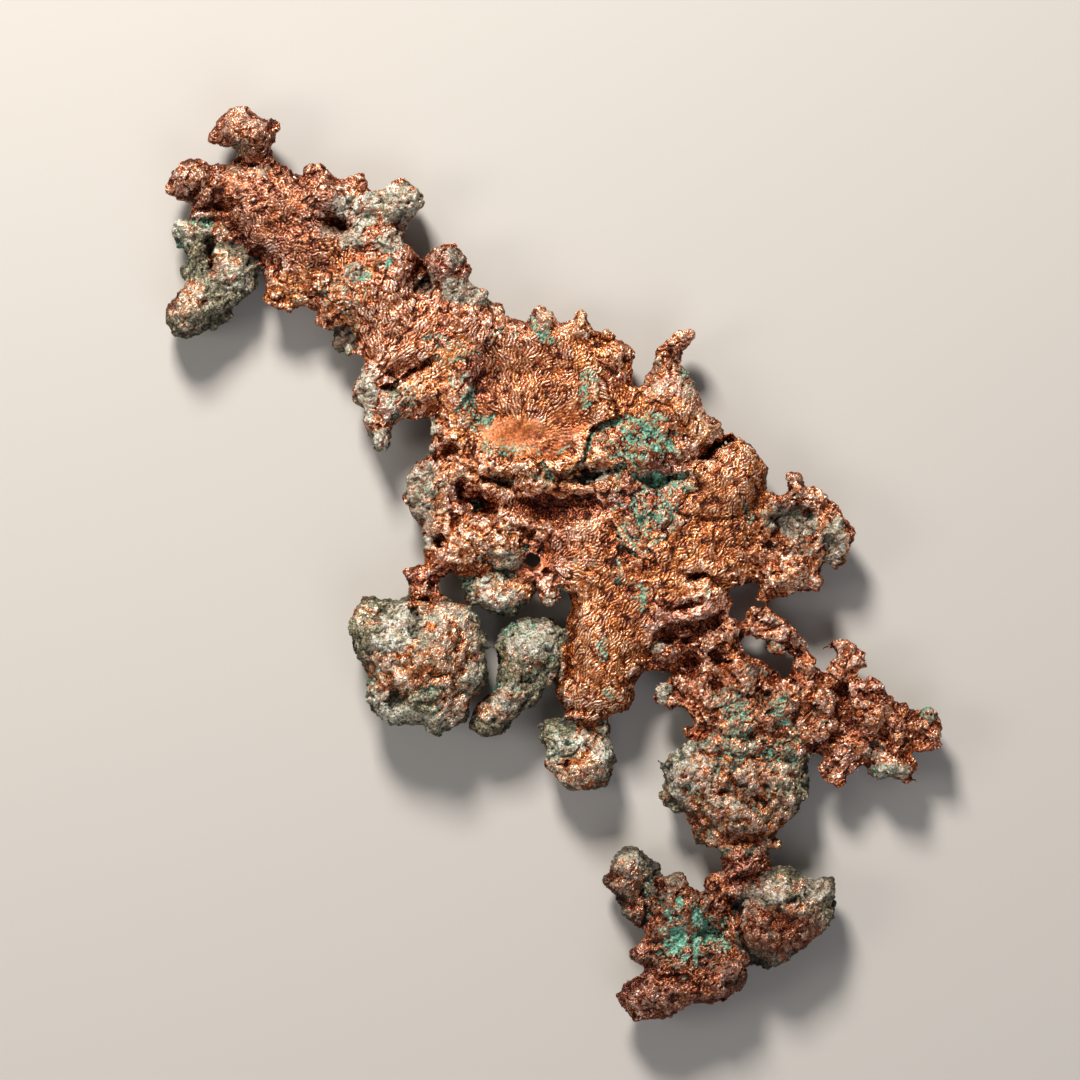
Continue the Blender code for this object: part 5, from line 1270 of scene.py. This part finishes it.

# ---------------------------------------------------------------------------------------------------------
# The finishes: copper brushed clean, bright on the ridges and brown in the grooves, partly from the metal and
# its oxide and partly as painted highlight and painted shade, and the crumbly rock. As they run into each
# other, both carry the same shares of metal, ore and patina.

# Where the film on the copper is orange, where it is red to purple, and where the whole skin is darker
ORANGE = [
    (9.2, 45, 12, 8, -20, 0.8),  # back edge
    (-2.8, 37, 12, 12, 0, 0.6),  # fan
    (35.2, 15, 12, 16, 0, 1),  # right lobe
    (27.2, 1, 12, 8, 0, 1),
    (9.2, -15, 10, 20, 0, 1),  # leg
    (17.2, 29, 12, 10, 0, 0.9),  # shoulder
    (1.2, 19, 22, 6, 0, 0.85), (-14.8, 25, 12, 8, 0, 0.7), (-24.8, 33, 6, 6, 0, 0.5),
    (-10.8, 9, 16, 8, 0, 0.5), (13.2, 1, 12, 12, 0, 0.8),
    (-44.8, 59, 10, 8, -40, 0.6),  # front of the limb
    (-52.8, 55, 6, 4, 0, 0.9), (45.2, -5, 6, 4, 0, 0.7), (-23.8, 39, 10, 3.2, 35, 0.8),
    (41.2, -25, 22, 12, -15, 0.65),  # branch
    (69.2, -33, 12, 10, 0, 0.6),
    (27.2, -73, 12, 16, 0, 0.8),  # fork
    (49.2, 5, 12, 12, 0, 0.65),  # right knob
    (-7.6, 26.8, 12, 5.2, 8, 0.45),  # the fan's heart
    (-62.8, 77, 16, 12, -30, 0.35),  # limb
    (-30.8, 47, 12, 8, -40, 0.3), (27.2, 47, 4, 4, 0, 0.8), (-24.8, 7, 6, 8, 0, 0.6),
    (-14.8, 2, 8, 4, 0, 0.8), (29.2, -31, 8, 6, 0, 0.5),
]
REDDENED = [
    (-16.8, 37, 3.2, 4.4, 0, 0.9), (17.2, 19, 10, 10, 0, 0.75), (15.2, 1, 6.8, 10, 20, 0.6),
    (-1.8, 6, 4.8, 3.2, 0, 0.6), (-16.8, 21, 8, 2.8, -15, 0.3), (13.2, 25, 4.8, 4, 0, 0.6),
    # the cavity's red-brown is partly its own film and partly painted shade under the lip
    (1.6, 11.6, 8.4, 3.2, 0, 0.6),  # cavity
    (-15.6, 12.6, 4.4, 2.8, -15, 0.6), (41.2, -27, 24, 12, -15, 0.4), (69.2, -33, 12, 10, 0, 0.5),
    (27.2, -79, 14, 12, 0, 0.5), (45.2, -74, 8.4, 5.2, 0, 0.5), (36.2, -47, 12, 8, 0, 0.3),
    (22.2, -9, 4, 2.8, 0, 0.6), (-18.8, 59, 6, 4, 0, 0.4), (-60.8, 61, 6, 8, -30, 0.4),
    (-24.8, -3, 4, 2, 0, 0.7), (-2.8, 49, 3.2, 2, 0, 0.5), (-40.8, 59, 10, 10, 0, 0.25),
    (39.2, -61, 6, 3.2, 0, 0.7), (19.2, 36, 6, 4, 0, 0.3),
]
TARNISH = [
    (-58.8, 73, 20, 14, -30, 0.55),  # limb
    (-14.8, 40.6, 4.8, 6.4, 0, 0.5),  # left wing of the fan
    (-6.8, 45.4, 10.4, 2, -6, 0.3),
    (49.2, -27, 30, 14, -15, 0.35),  # branch
    (27.2, -15, 8, 6, 0, 0.3),
    (27.2, -75, 20, 20, 0, 0.75),  # fork
    (-28.8, -19, 12, 14, 0, 0.15),  # big lump
    (-6.8, -19, 10, 12, 0, 0.15),  # bean
    (46.2, -73.4, 9.2, 6, 0, 0.85),  # bottom right nodule
    (47.2, -65, 12, 6, 0, 0.4),
    (35.2, -45, 14, 12, 0, 0.3),  # shield
    (9.2, -15, 10, 20, 0, 0.15),  # leg
    (-43.2, 45.4, 2.6, 2.6, 0, 1),  # stone chip
    (19.2, 17, 11, 12, 0, 0.35),  # green middle
    (36.2, 13, 8, 14, 0, 0.3),  # right lobe
    (-20.8, 58, 9, 6, 0, 0.4),  # cluster
    (-26.8, 13, 6, 12, 0, 0.3),
    (47.2, 5, 12, 12, 0, 0.35),  # right knob
    (37.2, -57, 6, 6, 0, 0.5),
    # the cavity's darkening is partly tarnish and partly painted shade under the lip
    (1.2, 12, 10, 4.8, 0, 0.1),  # cavity
    (15.2, -63, 6, 8, 0, 0.4), (-72.8, 57, 8, 12, 0, 0.2),
]
# Low metal is made darker red-brown by its height alone: painted shade in the deep cavities
LOW_SHADE_HEIGHTS = (4.0, 8.5)  # heights of the deepest metal, and of metal with its full colour

skin_shares = {
    "tone": tone,
    "ore": ore,
    "pale": pale,
    "patina": patina,
    "orange": np.maximum(cover(points, ORANGE, 0.4, 5.0, 101), 0.9 * rocky),
    "redness": cover(points, REDDENED, 0.6, 3.0, 103) * step(soft_noise(points, 1.3, 104), -0.3, 0.35),
    # depth is 1 on the lowest metal, which is painted darker as painted shade
    "depth": 1 - step(points[:, 2], *LOW_SHADE_HEIGHTS),
    "tarnish": cover(points, TARNISH, 0.3, 5.0, 107),
    "smooth": 1 - relief,
}


def srgb(code):
    """A colour such as d8d4cc as linear red, green, blue and alpha."""
    parts = [int(code[k:k + 2], 16) / 255 for k in (0, 2, 4)]
    return (*[c / 12.92 if c <= 0.04045 else ((c + 0.055) / 1.055) ** 2.4 for c in parts], 1)


def add_node(tree, kind, inputs=None, out=0, stops=(), **settings):
    """Adds a node with its settings, its inputs (sockets to link, or plain values) and its ramp stops.

    Returns the output that out names or numbers.
    """
    node = tree.nodes.new("ShaderNode" + kind)
    for key, value in settings.items():
        setattr(node, key, value)
    for key, value in (inputs or {}).items():
        if isinstance(value, bpy.types.NodeSocket):
            tree.links.new(value, node.inputs[key])
        else:
            node.inputs[key].default_value = value
    for number, (place, code) in enumerate(stops):
        if number > 1:
            node.color_ramp.elements.new(place)
        node.color_ramp.elements[number].position = place
        node.color_ramp.elements[number].color = srgb(code)
    return node.outputs[out] if node.outputs else None


METALLIC = 0.66  # a film of oxide takes the rest
ROUGHNESS = (0.1, 0.5, 0.28)  # of bare metal, and what rock and patina add, and what the grain adds
GRAIN_BUMP = 0.22 * MM
CLOUDS = [(3.5, 0.3), (1.8, 0.3), (1.1, 0.3), (2.2, 0.3), (1.9, 0.3), (0.6, 0.3), (0.45, 0.8), (0.4, 0.6)]


def growth_finish(name):
    """The finish of metal, ore and patina, laid by the shares at each point."""
    material = bpy.data.materials.new(name)
    material.use_nodes = True
    tree = material.node_tree
    tree.nodes.clear()
    place = add_node(tree, "TexCoord", out="Object")
    share = {key: add_node(tree, "Attribute", attribute_name=key, out="Fac") for key in skin_shares}
    cloud = {}  # soft patterns, by the size of their patches
    for size, bend in CLOUDS:
        spread = {"Vector": place, "Scale": 1 / (size * MM), "Detail": 5, "Distortion": bend}
        cloud[size] = add_node(tree, "TexNoise", spread)
    blend = {"data_type": "RGBA", "out": 2}
    multiply = {**blend, "blend_type": "MULTIPLY"}
    added = {"operation": "ADD", "use_clamp": True}
    times = {"operation": "MULTIPLY", "use_clamp": True}
    scaled = {"operation": "MULTIPLY_ADD"}

    # Native copper, brushed: bare pink metal on the ridges, orange films, and brown oxide in the grooves. The
    # ramps' near-white top on the crests is partly painted highlight, their dark foot in grooves and hollows
    # partly painted shade.
    grained = add_node(tree, "Math", {0: cloud[0.4], 1: 0.9, 2: -0.45}, **scaled)
    polish_and_painted_light = {0: add_node(tree, "Math", {0: share["tone"], 1: grained}, **added)}
    pinks = [(0.08, "4e2210"), (0.35, "a95b32"), (0.6, "e1a37c"), (0.84, "fff5ed")]
    oranges = [(0.08, "4e240c"), (0.35, "a9571d"), (0.6, "de924d"), (0.84, "ffeed8")]
    pink = add_node(tree, "ValToRGB", polish_and_painted_light, stops=pinks)
    orange = add_node(tree, "ValToRGB", polish_and_painted_light, stops=oranges)
    film = add_node(tree, "Math", {0: cloud[3.5], 1: 2.4, 2: -1.2}, **scaled)
    film = add_node(tree, "Math", {0: share["orange"], 1: film}, **added)
    metal = add_node(tree, "Mix", {0: film, 6: pink, 7: orange}, **blend)
    blotches = add_node(tree, "ValToRGB", {0: cloud[1.8]}, stops=[(0.38, "977a68"), (0.6, "ffffff")])
    uneven = add_node(tree, "Math", {0: share["smooth"], 1: -0.6, 2: 0.7}, use_clamp=True, **scaled)
    metal = add_node(tree, "Mix", {0: uneven, 6: metal, 7: blotches}, **multiply)
    hot = add_node(tree, "ValToRGB", {0: cloud[1.1]}, stops=[(0.55, "000000"), (0.68, "ffffff")])
    hot = add_node(tree, "Math", {0: hot, 1: uneven}, **times)
    # The hot patches and the red film are the metal's own colour; the low metal's darker red-brown is painted
    # shade
    for part, most, stain in (
        (hot, 0.65, "ff8040"), (share["redness"], 0.85, "b0503c"), (share["depth"], 0.75, "a85c40")
    ):
        part = add_node(tree, "Math", {0: part, 1: most}, **times)
        metal = add_node(tree, "Mix", {0: part, 6: metal, 7: srgb(stain)}, **multiply)

    # Altered lava: olive-grey and green-grey grains with dark chinks, bleached to grey-white where pale, and
    # made darker where its tone is low, in hollows and between knobs: partly dirt, partly painted shade.
    darks = [(0.38, "242118"), (0.46, "5b5640"), (0.54, "868266"), (0.64, "b8b598")]
    pales = [(0.36, "504e44"), (0.44, "a3a190"), (0.53, "d2d0c2"), (0.64, "f4f2ea")]
    dark_rock = add_node(tree, "ValToRGB", {0: cloud[0.45]}, stops=darks)
    pale_rock = add_node(tree, "ValToRGB", {0: cloud[0.45]}, stops=pales)
    rock = add_node(tree, "Mix", {0: share["pale"], 6: dark_rock, 7: pale_rock}, **blend)
    for pattern, part, stops in (
        (cloud[2.2], 0.7, [(0.46, "ffffff"), (0.64, "acb798")]),
        (cloud[1.9], 0.6, [(0.5, "ffffff"), (0.66, "c98f62")]),
        (share["tone"], 0.95, [(0.1, "534f46"), (0.42, "cfcdc4"), (0.7, "ffffff")]),
    ):
        stain = add_node(tree, "ValToRGB", {0: pattern}, stops=stops)
        rock = add_node(tree, "Mix", {0: part, 6: rock, 7: stain}, **multiply)

    # Copper carbonate: powdery green, dark where it is thin
    greens = [(0.32, "263f35"), (0.45, "4d8c73"), (0.58, "79b59a"), (0.72, "b8dcc9")]
    carbonate = add_node(tree, "ValToRGB", {0: cloud[0.6]}, stops=greens)
    colour = add_node(tree, "Mix", {0: share["ore"], 6: metal, 7: rock}, **blend)
    colour = add_node(tree, "Mix", {0: share["tarnish"], 6: colour, 7: srgb("98786a")}, **multiply)
    colour = add_node(tree, "Mix", {0: share["patina"], 6: colour, 7: carbonate}, **blend)

    # Bare metal is the glossiest, a smooth heart is dusty, and rock and patina are matt
    covered = add_node(tree, "Math", {0: share["ore"], 1: share["patina"]}, operation="MAXIMUM")
    dusty = add_node(tree, "Math", {0: share["smooth"], 1: 0.6}, operation="MULTIPLY")
    covered = add_node(tree, "Math", {0: covered, 1: dusty}, operation="MAXIMUM")
    metallic = add_node(tree, "Math", {0: covered, 1: -METALLIC, 2: METALLIC}, use_clamp=True, **scaled)
    dull = add_node(tree, "Math", {0: covered, 1: ROUGHNESS[1], 2: ROUGHNESS[0]}, **scaled)
    dull = add_node(tree, "Math", {0: cloud[0.4], 1: ROUGHNESS[2], 2: dull}, use_clamp=True, **scaled)
    bump = add_node(tree, "Bump", {"Strength": 1.0, "Distance": GRAIN_BUMP, "Height": cloud[0.4]})
    finish = {"Base Color": colour, "Metallic": metallic, "Roughness": dull, "Normal": bump}
    add_node(tree, "OutputMaterial", {"Surface": add_node(tree, "BsdfPrincipled", finish)})
    return material


native_copper = growth_finish("native copper, brushed clean")
ore_rock = growth_finish("altered lava threaded with copper")

# ---------------------------------------------------------------------------------------------------------
# The parts of the growth: one skin in nature, of copper and rock. It is parted where the frame's solids meet,
# and long parts once more across, and each cut is closed.

MOST_TRIANGLES = 150000


def zipped(loop, points):
    """Triangles that close a loop: its two sides, end to end in plan, are zipped by their length so far."""
    plan = points[loop, :2]
    first = np.argmax(np.linalg.norm(plan - plan[0], axis=1))
    second = np.argmax(np.linalg.norm(plan - plan[first], axis=1))
    loop = np.roll(loop, -first)
    turn = (second - first) % len(loop)
    sides = loop[: turn + 1], np.append(loop[turn:], loop[0])[::-1]
    reach = []
    for side in sides:
        run = np.linalg.norm(np.diff(points[side, :2], axis=0), axis=1) + 1e-6
        reach.append(np.append(0, np.cumsum(run)) / run.sum())
    (one, other), (a, b) = sides, reach
    j = np.searchsorted(b[1:-1], a[1:], side="left")
    i = np.searchsorted(a[1:-1], b[1:], side="right")
    j[-1] = len(other) - 2
    i[-1] = len(one) - 1
    caps = np.concatenate([
        np.stack([one[1:], one[:-1], other[j]], axis=1), np.stack([other[:-1], other[1:], one[i]], axis=1)
    ])
    distinct = (caps[:, 0] != caps[:, 1]) & (caps[:, 1] != caps[:, 2]) & (caps[:, 2] != caps[:, 0])
    return caps[distinct]


def part_off(faces, chosen, points):
    """The chosen triangles as a closed skin: the old number of each of its points, and its triangles."""
    part = faces[chosen]
    edges = np.concatenate([part[:, [0, 1]], part[:, [1, 2]], part[:, [2, 0]]]).astype(np.int64)
    count = len(points)
    is_open = ~np.isin(edges[:, 0] * count + edges[:, 1], edges[:, 1] * count + edges[:, 0])
    follows = {}
    for start, end in edges[is_open].tolist():
        follows.setdefault(start, []).append(end)
    caps = []
    while follows:
        loop = [next(iter(follows))]
        while True:
            ends = follows[loop[-1]]
            place = ends.pop()
            if not ends:
                del follows[loop[-1]]
            if place == loop[0]:
                break
            loop.append(place)
        caps.append(zipped(np.array(loop), points))
    whole = np.concatenate([part, *caps])
    low_corner, middle_corner, high_corner = np.sort(whole, axis=1).astype(np.int64).T
    place = (low_corner * count + middle_corner) * count + high_corner
    same, times = np.unique(place, return_inverse=True, return_counts=True)[1:]
    whole = whole[times[same.ravel()] == 1]  # a triangle and a cap back to back on it enclose nothing
    used, index = np.unique(whole, return_inverse=True)
    return used, index.reshape(-1, 3)


middle = points[faces].mean(axis=1)
node_names = COPPER_FORKS + ROCK_LUMPS
part_of = np.argmin([read_field(fields[node], middle[:, :2]) for node in node_names], axis=0)
for number, (node, slot) in enumerate((
    ("upper_limb", "native_copper"), ("main_plate", "native_copper"), ("lower_leg", "native_copper"),
    ("right_knob", "native_copper"), ("lower_right_branch", "dark_native_copper"),
    ("bottom_fork", "dark_native_copper"), ("upper_left_nodule", "pale_ore_rock"),
    ("inner_nodule", "pale_ore_rock"), ("big_nodule", "pale_ore_rock"), ("foot_nodule", "pale_ore_rock"),
    ("bottom_left_nodule", "pale_ore_rock"), ("bottom_right_nodule", "pale_ore_rock"),
    ("stone_chip", "ore_rock"), ("bean_nodule", "ore_rock"), ("shield_nodule", "ore_rock"),
)):
    own = part_of == number
    bands = int(own.sum() / MOST_TRIANGLES) + 1
    levels = np.quantile(middle[own, 1], np.linspace(0, 1, bands + 1)[1:-1])
    band_of = np.searchsorted(levels, middle[:, 1])
    for band in range(bands):
        used, triangles = part_off(faces, own & (band_of == band), points)
        name = f"{node}_skin_{band + 1}"
        mesh = mesh_from(name, points[used], triangles)
        mesh.normals_split_custom_set_from_vertices(normals[used])
        for key, numbers in skin_shares.items():
            layer = mesh.attributes.new(key, "FLOAT", "POINT")
            layer.data.foreach_set("value", numbers[used].astype(np.float32))
        mesh.materials.append(native_copper if node in COPPER_FORKS else ore_rock)
        piece = bpy.data.objects.new(name, mesh)
        bpy.context.scene.collection.objects.link(piece)
        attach(piece, "root")
        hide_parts(node)

# ---------------------------------------------------------------------------------------------------------
# The studio: a plain pale board, a broad soft lamp over its back edge, weaker ones at the left and in front,
# and the camera straight above.

BOARD_SIDE = 3000
BOARD_DROP = 0.02  # its top lies this far under the copper
board_corners = np.array([(-1, -1, 0), (1, -1, 0), (1, 1, 0), (-1, 1, 0)])
board_points = board_corners * BOARD_SIDE / 2 - (0, 0, BOARD_DROP)
board = bpy.data.objects.new("board", mesh_from("board", board_points, np.array([(0, 1, 2), (0, 2, 3)])))
bpy.context.scene.collection.objects.link(board)
board_finish = bpy.data.materials.new("matt pale board")
board_finish.use_nodes = True
board_shader = board_finish.node_tree.nodes["Principled BSDF"]
board_shader.inputs["Base Color"].default_value = srgb("b4b1ab")
board_shader.inputs["Roughness"].default_value = 0.9
board.data.materials.append(board_finish)

# Lamps as name, place, side of the square, power in watts, colour
for name, place, side, power, colour in (
    ("key", (-180, 620, 520), 200, 12.3, "fff8f2"),
    ("side", (-620, -60, 480), 300, 1.6, "fff8f2"),
    ("fill", (250, -600, 700), 700, 2.3, "f6f4ff"),
):
    light = bpy.data.lights.new(name, "AREA")
    light.size = side * MM
    light.energy = power
    light.color = srgb(colour)[:3]
    lamp = bpy.data.objects.new(name, light)
    lamp.location = [c * MM for c in place]
    lamp.rotation_euler = (-lamp.location).to_track_quat("-Z", "Y").to_euler()
    bpy.context.scene.collection.objects.link(lamp)

world = bpy.data.worlds.new("studio")
bpy.context.scene.world = world
world.use_nodes = True
world.node_tree.nodes["Background"].inputs[0].default_value = srgb("e6e6e6")
world.node_tree.nodes["Background"].inputs[1].default_value = 0.19

CAMERA_HEIGHT = 1400
VIEW_WIDTH = 216  # across the picture, at the middle of the copper
VIEW_MIDDLE = (-2.8, 5.0)
COPPER_HEIGHT = 9
SENSOR = 36
camera = bpy.data.objects.new("camera", bpy.data.cameras.new("camera"))
camera.location = [c * MM for c in (*VIEW_MIDDLE, CAMERA_HEIGHT)]
camera.data.sensor_width = SENSOR
camera.data.lens = SENSOR * (CAMERA_HEIGHT - COPPER_HEIGHT) / VIEW_WIDTH
camera.data.clip_end = 10
bpy.context.scene.collection.objects.link(camera)
bpy.context.scene.camera = camera
bpy.context.scene.view_settings.view_transform = "Standard"
